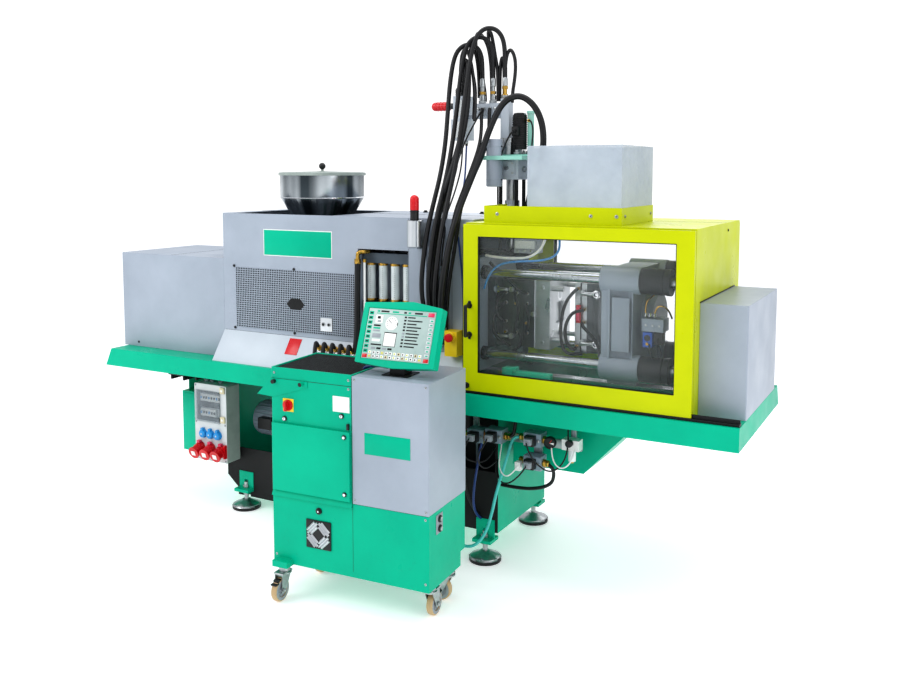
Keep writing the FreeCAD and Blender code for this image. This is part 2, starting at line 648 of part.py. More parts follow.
def clamp_cylinders():
    cylinders = []
    for y, z in TIE_PLACES:
        start = V(PLATEN_RIGHT, y, z)
        body = rod(start, X_AXIS, CLAMP_CYLINDER_LENGTH, CLAMP_CYLINDER_RADIUS)
        collar = rod(start + V(CLAMP_CYLINDER_LENGTH - 26, 0, 0), X_AXIS, 26,
                     CLAMP_CYLINDER_RADIUS + 6)
        bore = rod(start - V(1, 0, 0), X_AXIS, CLAMP_CYLINDER_LENGTH + 2, TIE_RADIUS + 1)
        cylinders.append(fuse([body, collar]).cut(bore))
    return group(cylinders)


# ---------------------------------------------------------------- horizontal injection unit
def injection_carriage():
    """Base plate on the bed, feed housing under the hopper and the screw's drive."""
    low = BED_TOP + SEAT_GAP
    base = box(CARRIAGE_LEFT, CARRIAGE_RIGHT, -190, 190, low, low + 54)
    feed = box(FEED_X - 80, FEED_X + 80, -90, 90, low + 54, CARRIAGE_TOP)
    drive = rod(V(CARRIAGE_LEFT + 20, 0, AXIS_Z), X_AXIS, FEED_X - 80 - CARRIAGE_LEFT - 20, 105)
    saddle = box(CARRIAGE_LEFT + 20, FEED_X - 80, -80, 80, low + 54, AXIS_Z - 60)
    body = fuse([base, feed, drive, saddle])
    barrel_bore = rod(V(FEED_X - 60 - SEAT_GAP, 0, AXIS_Z), X_AXIS, 200, BARREL_RADIUS + SEAT_GAP)
    drive_bush = rod(V(FEED_X - 160, 0, AXIS_Z), X_AXIS, 120, BARREL_BORE)
    throat = rod(V(FEED_X, 0, AXIS_Z), Z_AXIS, 200, 28)
    return body.cut(fuse([barrel_bore, drive_bush, throat]))


def injection_barrel():
    start = FEED_X - 60
    barrel = rod(V(start, 0, AXIS_Z), X_AXIS, SCREW_TIP + 40 - start, BARREL_RADIUS)
    nozzle_start = SCREW_TIP + 40
    nozzle_length = FIXED_FACE - SEAT_GAP - nozzle_start
    nozzle = Part.makeCone(BARREL_RADIUS - 8, 12, nozzle_length, V(nozzle_start, 0, AXIS_Z),
                           X_AXIS)
    bands = [rod(V(x, 0, AXIS_Z), X_AXIS, 120, BARREL_RADIUS + 14)
             for x in (FEED_X + 160, FEED_X + 310, FEED_X + 460, FEED_X + 610)]
    bore = rod(V(start - 1, 0, AXIS_Z), X_AXIS, SCREW_TIP + 20 - start, BARREL_BORE)
    orifice = rod(V(SCREW_TIP, 0, AXIS_Z), X_AXIS, 400, 3)
    throat = rod(V(FEED_X, 0, AXIS_Z), Z_AXIS, BARREL_RADIUS + 1, 28)
    return fuse([barrel, nozzle] + bands).cut(fuse([bore, orifice, throat]))


def plasticising_screw():
    """A shank in the drive's bush and a core that thickens forwards, with a ring per turn."""
    shank_left = FEED_X - 158
    shank = rod(V(shank_left, 0, AXIS_Z), X_AXIS, SCREW_SHANK, BARREL_BORE - RUNNING)
    flight_left = shank_left + SCREW_SHANK
    flight_right = SCREW_TIP - 20
    flight_length = flight_right - flight_left
    core = Part.makeCone(10, 14, flight_length, V(flight_left, 0, AXIS_Z), X_AXIS)
    tip = Part.makeCone(14, 3, 22, V(flight_right, 0, AXIS_Z), X_AXIS)
    rings = []
    for k in range(int(flight_length / SCREW_PITCH)):
        x = flight_left + (k + 0.5) * SCREW_PITCH
        rings.append(rod(V(x, 0, AXIS_Z), X_AXIS, 5, BARREL_BORE - RUNNING))
    return fuse([shank, core, tip] + rings)


def hopper():
    s = HOPPER_SHEET
    r, neck = HOPPER_RADIUS, HOPPER_NECK
    z0, z1, z2, z3 = CARRIAGE_TOP, HOPPER_CONE_BOTTOM, HOPPER_CONE_TOP, HOPPER_TOP
    return turned((FEED_X, 0), [(neck - s, z0), (neck + 30, z0), (neck + 30, z0 + 10),
                                (neck, z0 + 10), (neck, z1), (r, z2), (r, z3 - 4),
                                (r + 5, z3 - 4), (r + 5, z3), (r - s, z3), (r - s, z2 + 1),
                                (neck - s, z1 + 1)])


def hopper_lid():
    z = HOPPER_TOP
    r = HOPPER_RADIUS + 9
    lid = turned((FEED_X, 0), [(0, z), (r - 3, z), (r - 3, z - 12), (r, z - 12), (r, z + 3),
                               (r - 20, z + 6), (40, z + 10), (8, z + 12), (6, z + 26),
                               (0, z + 26)])
    knob = Part.makeSphere(18, V(FEED_X, 0, z + 38))
    return fuse([lid, knob])


# ---------------------------------------------------------------- upright injection unit
def unit_columns():
    """Foot plate on the fixed platen, four guide columns and the head plate."""
    foot_top = PLATEN_TOP + 22
    foot = box(FIXED_PLATEN_LEFT, UNIT_X + UNIT_HALF + 12, -70, 70, PLATEN_TOP, foot_top)
    foot = foot.cut(rod(V(UNIT_X, 0, PLATEN_TOP - 1), Z_AXIS, 24, 40))
    x, y, _ = HOSE_ROUTES["hose_loop"][1][0]
    lug = box(UNIT_X + UNIT_HALF, x + 24, y - 24, 0, PLATEN_TOP, foot_top)
    columns = [rod(V(x, y, foot_top), Z_AXIS, UNIT_PLATE_BOTTOM - foot_top,
                   UNIT_COLUMN_RADIUS) for x, y in UNIT_CORNERS]
    head = box(UNIT_X - 66, UNIT_X + 118, -64, 64, UNIT_PLATE_BOTTOM, UNIT_PLATE_TOP)
    return fuse([foot, lug, head] + columns)


def unit_carriage():
    """The block that slides on the columns, with its barrel and nozzle below."""
    half = UNIT_HALF
    block = box(UNIT_X - half, UNIT_X + half, -half, half, UNIT_BLOCK_BOTTOM, UNIT_BLOCK_TOP)
    block = rounded(block, 6, upright)
    mould_top = AXIS_Z + 160
    nozzle_tip = mould_top + UNIT_STROKE + SEAT_GAP
    barrel = rod(V(UNIT_X, 0, nozzle_tip + 60), Z_AXIS, UNIT_BLOCK_BOTTOM - nozzle_tip - 60, 28)
    band = rod(V(UNIT_X, 0, UNIT_BLOCK_BOTTOM - 190), Z_AXIS, 90, 32)
    nozzle = Part.makeCone(6, 22, 60, V(UNIT_X, 0, nozzle_tip), Z_AXIS)
    body = fuse([block, barrel, band, nozzle])
    for x, y in UNIT_CORNERS:
        bore = rod(V(x, y, UNIT_BLOCK_BOTTOM - 1), Z_AXIS, UNIT_BLOCK_TOP - UNIT_BLOCK_BOTTOM + 2,
                   UNIT_COLUMN_RADIUS + RUNNING)
        body = body.cut(bore)
    return body


def unit_motor():
    """The gear housing, the black motor and the stroke cylinder on the head plate."""
    z = UNIT_PLATE_TOP
    gear_housing = rod(V(UNIT_X - 22, 0, z), Z_AXIS, 80, 40)
    motor = rod(V(UNIT_X + 42, -8, z + 24), Z_AXIS, 165, 34)
    bridge = box(UNIT_X - 22, UNIT_X + 42, -30, 20, z, z + 60)
    stroke = rod(V(UNIT_X + 96, 0, z), Z_AXIS, 195, 16)
    cap = rod(V(UNIT_X + 96, 0, z + 195), Z_AXIS, 12, 20)
    return group([fuse([gear_housing, motor, bridge]), fuse([stroke, cap])])


def unit_manifold():
    """The mast behind the gear housing, an arm, and the block with three hose fittings."""
    z = UNIT_PLATE_TOP + 80
    mast = box(UNIT_X - 56, UNIT_X - 8, -22, 26, z, UNIT_MAST_TOP)
    mast = rounded(mast, 5, upright)
    arm = box(340, UNIT_X - 56, -12, 12, 2096, 2116)
    block = box(392, UNIT_X - 56, -34, 34, 2116, 2168)
    block = rounded(block, 4, upright)
    fittings = []
    for x in FITTING_X[:2]:
        fittings.append(rod(V(x, 0, 2168), Z_AXIS, FITTING_TOP - 2168, HOSE / 2 - 1))
        fittings.append(rod(V(x, 0, 2186), Z_AXIS, 22, HOSE / 2 + 5))
    x = FITTING_X[2]
    fittings.append(rod(V(x, 0, UNIT_MAST_TOP), Z_AXIS, FITTING_TOP - UNIT_MAST_TOP,
                        HOSE / 2 - 1))
    fittings.append(rod(V(x, 0, UNIT_MAST_TOP), Z_AXIS, 20, HOSE / 2 + 5))
    return fuse([mast, arm, block] + fittings)


def signal_box():
    """A small terminal box with a red lamp lying on its left end."""
    case = box(259, 344, -45, 45, 1992, 2096)
    upper = box(268, 340, -40, 40, 2096, 2209)
    case = rounded(fuse([case, upper]), 4, upright)
    neck = rod(V(228, 0, LAMP_Z), X_AXIS, 40, 15)
    lamp = rod(V(150, 0, LAMP_Z), X_AXIS, 78, LAMP_RADIUS)
    lamp = fuse([lamp, Part.makeSphere(LAMP_RADIUS, V(150, 0, LAMP_Z))])
    return group([fuse([case, neck]), lamp])


# ---------------------------------------------------------------- beacon and flow regulator
def signal_beacon():
    x, y = BEACON_X, BEACON_Y
    plate = box(x - 24, x + 24, COVER_FRONT - 6, COVER_FRONT, 1190, 1600)
    shelf = box(x - 24, x + 24, y - 20, COVER_FRONT, BEACON_SHELF - 8, BEACON_SHELF)
    housing = box(x - 27, x + 27, y - 27, y + 40, BEACON_SHELF, BEACON_COLLAR)
    housing = rounded(housing, 5, upright)
    collar = rod(V(x, y, BEACON_COLLAR), Z_AXIS, BEACON_LENS - BEACON_COLLAR, 20)
    lens = rod(V(x, y, BEACON_LENS), Z_AXIS, 50, 21)
    crown = Part.makeSphere(21, V(x, y, BEACON_LENS + 50), Z_AXIS, 0, 90, 360)
    return group([fuse([plate, shelf, housing, collar]), fuse([lens, crown])])


def flow_regulator():
    """Two header blocks with four sight tubes between them."""
    y = COVER_FRONT + 60
    back = COVER_FRONT + RECESS_DEPTH - 2
    x0, x1 = RECESS_LEFT + 6, RECESS_RIGHT - 6
    top = box(x0, x1, y - 26, back, RECESS_TOP - 70, RECESS_TOP - 20)
    bottom = box(x0, x1, y - 26, back, 1150, 1200)
    tubes = []
    step = (x1 - x0) / 4
    for k in range(4):
        x = x0 + (k + 0.5) * step
        tubes.append(rod(V(x, y, 1200), Z_AXIS, RECESS_TOP - 70 - 1200, 21))
    return group([top, bottom] + tubes)


# ---------------------------------------------------------------- valves, sockets
def valve_bank():
    """Water valves on a bar under the tray, between the base and the chute."""
    y = VALVE_Y
    top = TRAY_UNDERSIDE
    bar = box(500, 1060, y + 40, y + 56, 600, 640)
    drop = [box(x, x + 24, y + 40, y + 60, 600, top) for x in (520, 1010)]
    bodies = []
    for x, z in VALVE_PLACES:
        body = box(x - 42, x + 42, y - 30, y + 40, z - 32, z + 32)
        bodies.append(rounded(body, 6, along_x))
        bodies.append(rod(V(x - 62, y, z), X_AXIS, 124, 14))
    hanger = box(830, 872, y + 40, y + 56, 520, 640)
    filter_block = box(985, 1065, y - 10, y + 40, 612, 660)
    return fuse([bar, hanger, filter_block] + drop + bodies)


def socket_box():
    """A plastic distribution box; its upper half is open behind a hinged window."""
    box_x0, box_x1, y0, y1, z0, z1 = SOCKET_BOX
    case = box(box_x0, box_x1, y0, y1, z0, z1)
    case = rounded(case, 8, lambda e: abs(e.tangentAt(e.FirstParameter).y) > 0.99)
    niche = box(box_x0 + 20, box_x1 - 46, y0 - 1, y0 + 30, z0 + 222, z1 - 40)
    bracket = [box(x, x + 24, y1, y1 + 10, z1 - 60, TRAY_UNDERSIDE)
               for x in (box_x0 + 40, box_x1 - 64)]
    straps = [box(x, x + 24, y1, -BASE_WIDTH / 2, z0 + 60, z0 + 84)
              for x in (box_x1 - 64,)]
    return fuse([case.cut(niche)] + bracket + straps)


def socket_window():
    """The clear lid of the box, which turns about the round rib on its left edge."""
    x0, x1, y0, _, z0, z1 = SOCKET_BOX
    low, top = z0 + 216, z1 - 34
    hinge_x, hinge_y = x0 + 14, y0 - SEAT_GAP - WINDOW_THICK / 2
    lid = box(hinge_x, x1 - 40, y0 - SEAT_GAP - WINDOW_THICK, y0 - SEAT_GAP, low, top)
    lid = lid.cut(box(hinge_x + 8, x1 - 44, y0 - 9, y0, low + 4, top - 4))
    rib = rod(V(hinge_x, hinge_y, low), Z_AXIS, top - low, WINDOW_THICK / 2)
    return fuse([lid, rib])


def power_sockets():
    """Three round blue sockets and three red ones that lean outwards."""
    y = SOCKET_BOX[2]
    sockets = []
    for x in BLUE_SOCKET_X:
        flange = rod(V(x, y, BLUE_SOCKET_Z), V(0, -1, 0), 5, 25)
        cap = rod(V(x, y - 5, BLUE_SOCKET_Z), V(0, -1, 0), 12, 21)
        sockets.append(fuse([flange, cap]))
    angle = math.radians(RED_SOCKET_LEAN)
    lean = V(0, -math.cos(angle), -math.sin(angle))
    for x in RED_SOCKET_X:
        start = V(x, y + 12, RED_SOCKET_Z)
        barrel = rod(start, lean, 68, 29)
        lid = rod(start + lean * 68, lean, 9, 34)
        body = fuse([barrel, lid]).cut(box(x - 60, x + 60, y, y + 60, 240, 460))
        sockets.append(body)
    return group(sockets)


# ---------------------------------------------------------------- control cart
def on_cart(shape):
    """Moves a shape from the cart's own frame (front left corner, floor) to the machine's."""
    turn = FreeCAD.Rotation(Z_AXIS, CART_TURN)
    moved = shape.copy()
    moved.Placement = FreeCAD.Placement(V(CART_X, CART_Y, 0), turn).multiply(shape.Placement)
    return moved


def cart_base():
    """The lower cabinet on its outrigger, with a row of slots for its fan."""
    s = CART_SHEET
    w, d = CART_WIDTH, CART_BASE_DEPTH
    outer = box(0, w, 0, d, CART_BASE_BOTTOM + 22, CART_BASE_TOP)
    inner = box(s, w - s, s, d - s, CART_BASE_BOTTOM + 22 + s, CART_BASE_TOP - s)
    shell = outer.cut(inner)
    slot_step = FAN_SIZE / FAN_SLOTS
    for k in range(FAN_SLOTS):
        z = FAN_Z - FAN_SIZE / 2 + k * slot_step
        slot = box(FAN_U - FAN_SIZE / 2, FAN_U + FAN_SIZE / 2, -1, s + 1, z, z + slot_step / 2)
        shell = shell.cut(slot)
    plinth = box(0, w, 0, d, CART_BASE_BOTTOM, CART_BASE_BOTTOM + 22)
    plinth = plinth.cut(box(40, w - 40, 40, d - 40, CART_BASE_BOTTOM - 1, CART_BASE_BOTTOM + 18))
    plates = []
    for u, v, _ in CASTOR_PLACES.values():
        plates.append(box(u - 38, u + 38, v - 38, v + 38, CASTOR_TOP, CART_BASE_BOTTOM))
    outrigger = box(20, 96, -42, 10, CART_BASE_BOTTOM, CART_BASE_BOTTOM + 22)
    rear_part = box(s, w - s, d, CART_DEPTH, CART_BASE_BOTTOM + 60, CART_BASE_TOP)
    coupling = rod(V(640, CART_DEPTH, 240), Y_AXIS, 12, COOLANT_HOSE / 2 + 4)
    return on_cart(fuse([shell, plinth, outrigger, rear_part, coupling] + plates))


def cart_body():
    """The green upper cabinet with a mat well on top and a door opening in front."""
    s = CART_SHEET
    w, d, low, top = CART_BODY_WIDTH, CART_DEPTH, CART_BASE_TOP, CART_BODY_TOP
    outer = box(0, w, 0, d, low, top)
    outer = rounded(outer, 5, lambda e: upright(e) and e.BoundBox.YMax < 1)
    inner = box(s, w - s, s, d - s, low + s, top - s - 8)
    well = box(8, w - 8, 8, d - 8, top - 8, top + 1)
    doorway = box(24, w - 24, -1, s + 1, low + 24, CART_DOOR_TOP - 22)
    front_plate = prism([V(0, 0, top - 48), V(-72, 0, top - 124), V(12, 0, top - 129),
                         V(185, 0, top - 73), V(185, 0, top - 48)], V(0, -4, 0))
    knobs = [rod(V(u, -4, top - 60), V(0, -1, 0), 16, 9) for u in (19, 159)]
    shell = outer.cut(inner).cut(well).cut(doorway)
    return on_cart(fuse([shell, front_plate] + knobs))


def cart_cabinet():
    s = CART_SHEET
    x0, w, d = CART_BODY_WIDTH + SEAT_GAP, CART_WIDTH, CART_DEPTH
    outer = box(x0, w, -2, d, CART_BASE_TOP, CART_BODY_TOP - 4)
    outer = rounded(outer, 4, lambda e: upright(e) and e.BoundBox.YMax < 1)
    inner = box(x0 + s, w - s, s - 2, d - s, CART_BASE_TOP + s, CART_BODY_TOP - 4 - s)
    return on_cart(outer.cut(inner))


def cart_door():
    """A pan that turns about the round rib down its left edge."""
    s = CART_SHEET
    low, top = CART_BASE_TOP + 8, CART_DOOR_TOP
    front, back = -SEAT_GAP - CART_DOOR_THICK, -SEAT_GAP
    right = CART_BODY_WIDTH - 6
    pan = box(CART_DOOR_HINGE_U, right, front, back, low, top)
    rib = rod(V(CART_DOOR_HINGE_U, (front + back) / 2, low), Z_AXIS, top - low,
              CART_DOOR_THICK / 2)
    hollow = box(CART_DOOR_HINGE_U + 8, right - s, front + s, back + 1, low + s, top - s)
    return on_cart(fuse([pan.cut(hollow), rib]))


def main_switch():
    disc = rod(V(SWITCH_U, -SEAT_GAP, SWITCH_Z), V(0, -1, 0), 8, 24)
    grip = box(SWITCH_U - 6, SWITCH_U + 6, -30, -7, SWITCH_Z - 21, SWITCH_Z + 21)
    grip = rounded(grip, 3, lambda e: e.BoundBox.YMax < -29)
    return on_cart(fuse([disc, grip]))


def castor_fork(u, v, turn):
    """A swivel head, two cheeks and the axle, with the wheel behind the swivel."""
    head = rod(V(0, 0, CASTOR_TOP - 22 - SEAT_GAP), Z_AXIS, 22, 24)
    crown = box(-24, 24, -22, CASTOR_TRAIL + 10, CASTOR_TOP - 30, CASTOR_TOP - 22 - SEAT_GAP)
    gap = WHEEL_WIDTH / 2 + 3
    cheeks = []
    for side in (-1, 1):
        x = side * (gap + 1.5)
        outline = [V(x - 1.5, -20, CASTOR_TOP - 26), V(x - 1.5, CASTOR_TRAIL + 10, CASTOR_TOP - 26),
                   V(x - 1.5, CASTOR_TRAIL + 14, WHEEL_RADIUS - 12),
                   V(x - 1.5, CASTOR_TRAIL - 14, WHEEL_RADIUS - 12)]
        cheeks.append(prism(outline, V(3, 0, 0)))
    axle = rod(V(-gap - 8, CASTOR_TRAIL, WHEEL_RADIUS), X_AXIS, 2 * gap + 16, AXLE_RADIUS)
    fork = fuse([head, crown, axle] + cheeks)
    fork.rotate(V(0, 0, 0), Z_AXIS, turn)
    return on_cart(fork.translated(V(u, v, 0)))


def castor_wheel(u, v, turn):
    half = WHEEL_WIDTH / 2
    wheel = rod(V(-half, CASTOR_TRAIL, WHEEL_RADIUS), X_AXIS, WHEEL_WIDTH, WHEEL_RADIUS)
    wheel = rounded(wheel, 6, lambda e: True)
    for side in (-1, 1):
        x = half - 5 if side > 0 else -half - 1
        dish = tube(V(x, CASTOR_TRAIL, WHEEL_RADIUS), X_AXIS, 6, 32, 14)
        wheel = wheel.cut(dish)
    bore = rod(V(-half - 1, CASTOR_TRAIL, WHEEL_RADIUS), X_AXIS, WHEEL_WIDTH + 2,
               AXLE_RADIUS + RUNNING)
    wheel = wheel.cut(bore)
    wheel.rotate(V(0, 0, 0), Z_AXIS, turn)
    return on_cart(wheel.translated(V(u, v, 0)))


def screen_housing():
    """A six-sided case that bows gently at top and bottom, with a shallow screen well."""
    half, h, d = SCREEN_WIDTH / 2, SCREEN_HEIGHT, SCREEN_DEPTH
    z = -28.0
    outline = [V(-half, 0, z + 6), V(-4, 0, z - 8), V(half, 0, z + 6),
               V(half, 0, z + h - 8), V(46, 0, z + h + 12), V(-half, 0, z + h - 2)]
    case = prism(outline, V(0, d, 0))
    case = rounded(case, 6, lambda e: abs(e.tangentAt(e.FirstParameter).y) > 0.99)
    well = box(-half + 24, half - 24, -1, 3, z + 22, z + h - 22)
    slot = box(-46, 46, d - 26, d + 1, -60, 24)
    pin_bore = rod(V(-80, d - 12, 0), X_AXIS, 160, 6 + RUNNING)
    hollow = box(-half + 8, half - 8, 6, d - 3, 32, h - 48)
    case = case.cut(well).cut(slot).cut(pin_bore).cut(hollow)
    case.translate(V(0, -(d - 12), 0))
    case.rotate(V(0, 0, 0), X_AXIS, -SCREEN_TILT)
    return on_cart(case.translated(V(SCREEN_U, SCREEN_V, SCREEN_PIVOT_Z)))


def screen_arm():
    """The post on the cabinet's top and the pin that the screen leans on."""
    pin = rod(V(SCREEN_U - 78, SCREEN_V, SCREEN_PIVOT_Z), X_AXIS, 156, 6)
    knuckle = rod(V(SCREEN_U - 40, SCREEN_V, SCREEN_PIVOT_Z), X_AXIS, 80, 11)
    low = CART_BODY_TOP - 4
    post = box(SCREEN_U - 34, SCREEN_U + 34, SCREEN_V + 2, SCREEN_V + 60, low,
               SCREEN_PIVOT_Z - 26)
    neck = box(SCREEN_U - 34, SCREEN_U + 34, SCREEN_V - 6, SCREEN_V + 6, low, SCREEN_PIVOT_Z)
    foot = box(SCREEN_U - 60, SCREEN_U + 60, SCREEN_V - 30, SCREEN_V + 80, low, low + 4)
    return on_cart(fuse([pin, knuckle, post, neck, foot]))


# ---------------------------------------------------------------- hoses
def hose(diameter, route):
    """A tube of straight runs joined by tangent arcs as large as the runs allow."""
    points = [V(*p) for p in route]
    edges = []
    radii = []
    here = points[0]
    for before, corner, after in zip(points, points[1:], points[2:]):
        back, ahead = before - corner, after - corner
        run = min(back.Length, ahead.Length)
        back.normalize()
        ahead.normalize()
        half_turn = (math.pi - back.getAngle(ahead)) / 2
        reach = 0.45 * run
        radius = reach / math.tan(half_turn)
        radii.append(radius)
        start, end = corner + back * reach, corner + ahead * reach
        inward = back + ahead
        inward.normalize()
        middle = corner + inward * (radius / math.cos(half_turn) - radius)
        edges.append(Part.LineSegment(here, start).toShape())
        edges.append(Part.Arc(start, middle, end).toShape())
        here = end
    edges.append(Part.LineSegment(here, points[-1]).toShape())
    path = Part.Wire(edges)
    circle = Part.makeCircle(diameter / 2, points[0], points[1] - points[0])
    tube_shape = path.makePipeShell([Part.Wire(circle)], True, False)
    expected = math.pi * diameter ** 2 / 4 * path.Length
    print("  length %.0f, smallest radius %.0f = %.1f diameters, volume ratio %.4f"
          % (path.Length, min(radii), min(radii) / diameter, tube_shape.Volume / expected))
    return tube_shape


# ---------------------------------------------------------------- the whole machine
def build():
    nodes = {
        "base_frame": base_frame(),
        "levelling_feet": levelling_feet(),
        "drip_tray": drip_tray(),
        "parts_chute": parts_chute(),
        "bed_rails": bed_rails(),
        "rear_cover": rear_cover(),
        "machine_housing": machine_housing(),
        "front_panel": front_panel(),
        "flow_regulator": flow_regulator(),
        "signal_beacon": signal_beacon(),
        "stop_button": stop_button(),
        "end_cover": end_cover(),
        "hood": hood(),
        "hood_collar": hood_collar(),
        "splash_guard": splash_guard(),
        "gate_rail": gate_rail(),
        "gate_frame": gate_frame(),
        "gate_pane": gate_pane(),
        "gate_handle": gate_handle(),
        "fixed_platen": fixed_platen(),
        "tie_bars": tie_bars(),
        "end_plate": end_plate(),
        "mould_half_fixed": mould_half_fixed(),
        "mould_half_moving": mould_half_moving(),
        "moving_platen": moving_platen(),
        "clamp_cylinders": clamp_cylinders(),
        "injection_carriage": injection_carriage(),
        "injection_barrel": injection_barrel(),
        "plasticising_screw": plasticising_screw(),
        "hopper": hopper(),
        "hopper_lid": hopper_lid(),
        "unit_columns": unit_columns(),
        "unit_carriage": unit_carriage(),
        "unit_motor": unit_motor(),
        "unit_manifold": unit_manifold(),
        "signal_box": signal_box(),
        "valve_bank": valve_bank(),
        "socket_box": socket_box(),
        "socket_window": socket_window(),
        "power_sockets": power_sockets(),
        "cart_base": cart_base(),
        "cart_body": cart_body(),
        "cart_cabinet": cart_cabinet(),
        "cart_door": cart_door(),
        "main_switch": main_switch(),
        "screen_arm": screen_arm(),
        "screen_housing": screen_housing(),
    }
    for place, (u, v, turn) in CASTOR_PLACES.items():
        nodes["castor_fork_" + place] = castor_fork(u, v, turn)
        nodes["castor_wheel_" + place] = castor_wheel(u, v, turn)
    for name, (diameter, route) in HOSE_ROUTES.items():
        print(name)
        nodes[name] = hose(diameter, route)
    return nodes


def origin_shift(nodes):
    """Brings the middle of the footprint, hoses left out, to the origin."""
    whole = FreeCAD.BoundBox()
    for name, shape in nodes.items():
        if name not in HOSE_ROUTES:
            whole.add(shape.optimalBoundingBox(False))
    return V(-(whole.XMin + whole.XMax) / 2, -(whole.YMin + whole.YMax) / 2, -whole.ZMin)


def main():
    os.makedirs("parts", exist_ok=True)
    nodes = build()
    shift = origin_shift(nodes)
    print("machine centre is moved by", shift)
    for name, shape in nodes.items():
        shape.translate(shift)
        solids = shape.Solids
        bad = not shape.isValid() or not solids or min(s.Volume for s in solids) <= 0
        print("%-30s %2d solids  %s" % (name, len(solids), "BAD" if bad else "ok"))
        shape.exportStep("parts/%s.step" % name)


main()
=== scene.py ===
# %% [markdown]
# An injection moulding machine with a control cart beside it.
# The CAD model gives every size and every place; this script gives each surface its finish and adds the
# small fittings that a maker bolts on last. The frame is loaded first, because all the rest is measured
# from it.

# %% Load the frame
import json
import math

import bmesh
import bpy
from mathutils import Matrix, Vector


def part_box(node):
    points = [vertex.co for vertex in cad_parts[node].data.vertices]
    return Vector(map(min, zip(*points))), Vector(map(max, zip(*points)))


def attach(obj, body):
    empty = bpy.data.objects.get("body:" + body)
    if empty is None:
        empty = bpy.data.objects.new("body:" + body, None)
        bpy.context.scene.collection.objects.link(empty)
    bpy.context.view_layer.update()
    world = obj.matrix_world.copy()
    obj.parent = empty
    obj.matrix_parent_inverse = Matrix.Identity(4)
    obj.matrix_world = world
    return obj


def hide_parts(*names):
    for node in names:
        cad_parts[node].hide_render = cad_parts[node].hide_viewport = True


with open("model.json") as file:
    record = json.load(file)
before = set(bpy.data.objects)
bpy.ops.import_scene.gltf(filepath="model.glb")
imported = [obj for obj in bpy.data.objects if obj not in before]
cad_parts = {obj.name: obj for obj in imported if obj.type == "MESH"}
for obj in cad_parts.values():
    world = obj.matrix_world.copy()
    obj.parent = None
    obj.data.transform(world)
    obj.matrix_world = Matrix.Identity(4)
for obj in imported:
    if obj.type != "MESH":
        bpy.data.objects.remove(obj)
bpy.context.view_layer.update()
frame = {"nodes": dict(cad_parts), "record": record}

# %% [markdown]
# The machine was drawn in millimetres about the middle of its bed, but the frame's origin is the middle of
# the whole footprint, cart included. One small function moves a drawing point into the frame, so each fitting
# below is written with the numbers a maker would read off the drawing.

# %% Drawing millimetres to frame metres
BED_Y = 0.340334
BED = Matrix.Translation((0, BED_Y, 0)) @ Matrix.Scale(0.001, 4)
# Two axes that many pieces share: the height of the screw and the clamp, and the hopper's upright one.
AXIS_Z = 1172
HOPPER_X = -560


def at(x, y, z):
    return BED @ Vector((x, y, z))


tray_low, tray_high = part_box("drip_tray")
print("tray middle is", round((tray_low.x + tray_high.x) / 2, 3), "tray top", round(tray_high.z, 3))

# %% [markdown]
# The view is that of a person standing well back at the front right corner, with level verticals. A level
# camera keeps them upright, and a little lens shift drops the frame onto the machine. Most of the drop is a
# slight tilt, so that views from other sides stay well framed too.

# %% Camera
eye = bpy.data.cameras.new("front_right_view")
eye.lens = 37.31
eye.sensor_width = 36.0
eye.shift_x = -0.0018
eye.shift_y = -0.094
camera = bpy.data.objects.new("front_right_view", eye)
camera.location = at(2490.5, -4127.8, 1840)
camera.rotation_euler = (math.radians(90 - 5.0), 0, math.radians(28.604))
bpy.context.scene.collection.objects.link(camera)
bpy.context.scene.camera = camera
print("camera height", round(camera.location.z, 2), "m")

# %% [markdown]
# Screen colours are written as hex, which is how a paint card is matched, and the shaders want linear light.
# The second function adds one shader node with its settings and links, so that a material reads as a short
# list of what feeds what.

# %% Colour and node helpers
def linear(code):
    parts = [int(code[i:i + 2], 16) / 255 for i in (1, 3, 5)]
    return [c / 12.92 if c <= 0.04045 else ((c + 0.055) / 1.055) ** 2.4 for c in parts] + [1.0]


def add(tree, kind, settings=None, links=None):
    node = tree.nodes.new(kind)
    for key, value in (settings or {}).items():
        if isinstance(key, str) and hasattr(node, key):
            setattr(node, key, value)
        else:
            node.inputs[key].default_value = value
    for key, source in (links or {}).items():
        tree.links.new(source, node.inputs[key])
    return node


def start_material(name):
    material = bpy.data.materials.new(name)
    material.use_nodes = True
    tree = material.node_tree
    place = add(tree, "ShaderNodeTexCoord")
    return material, tree, tree.nodes["Principled BSDF"], place.outputs["Object"]


def two_tones(tree, fac, low, high, start=0.3, end=0.7):
    ramp = add(tree, "ShaderNodeValToRGB", {}, {"Fac": fac})
    for element, spot, code in zip(ramp.color_ramp.elements, (start, end), (low, high)):
        element.position = spot
        element.color = linear(code)
    return ramp.outputs["Color"]


print("helpers ready; mid grey is", round(linear("#808080")[0], 3))

# %% [markdown]
# Powder coat is plastic dust melted onto steel. It levels badly, so close up it has a faint orange peel about
# 2 mm across, and a big panel is never one even tone: handling leaves soft clouds in the colour and in the
# shine. Two noises do both, and a third of dust and scuffs gathers towards the floor.

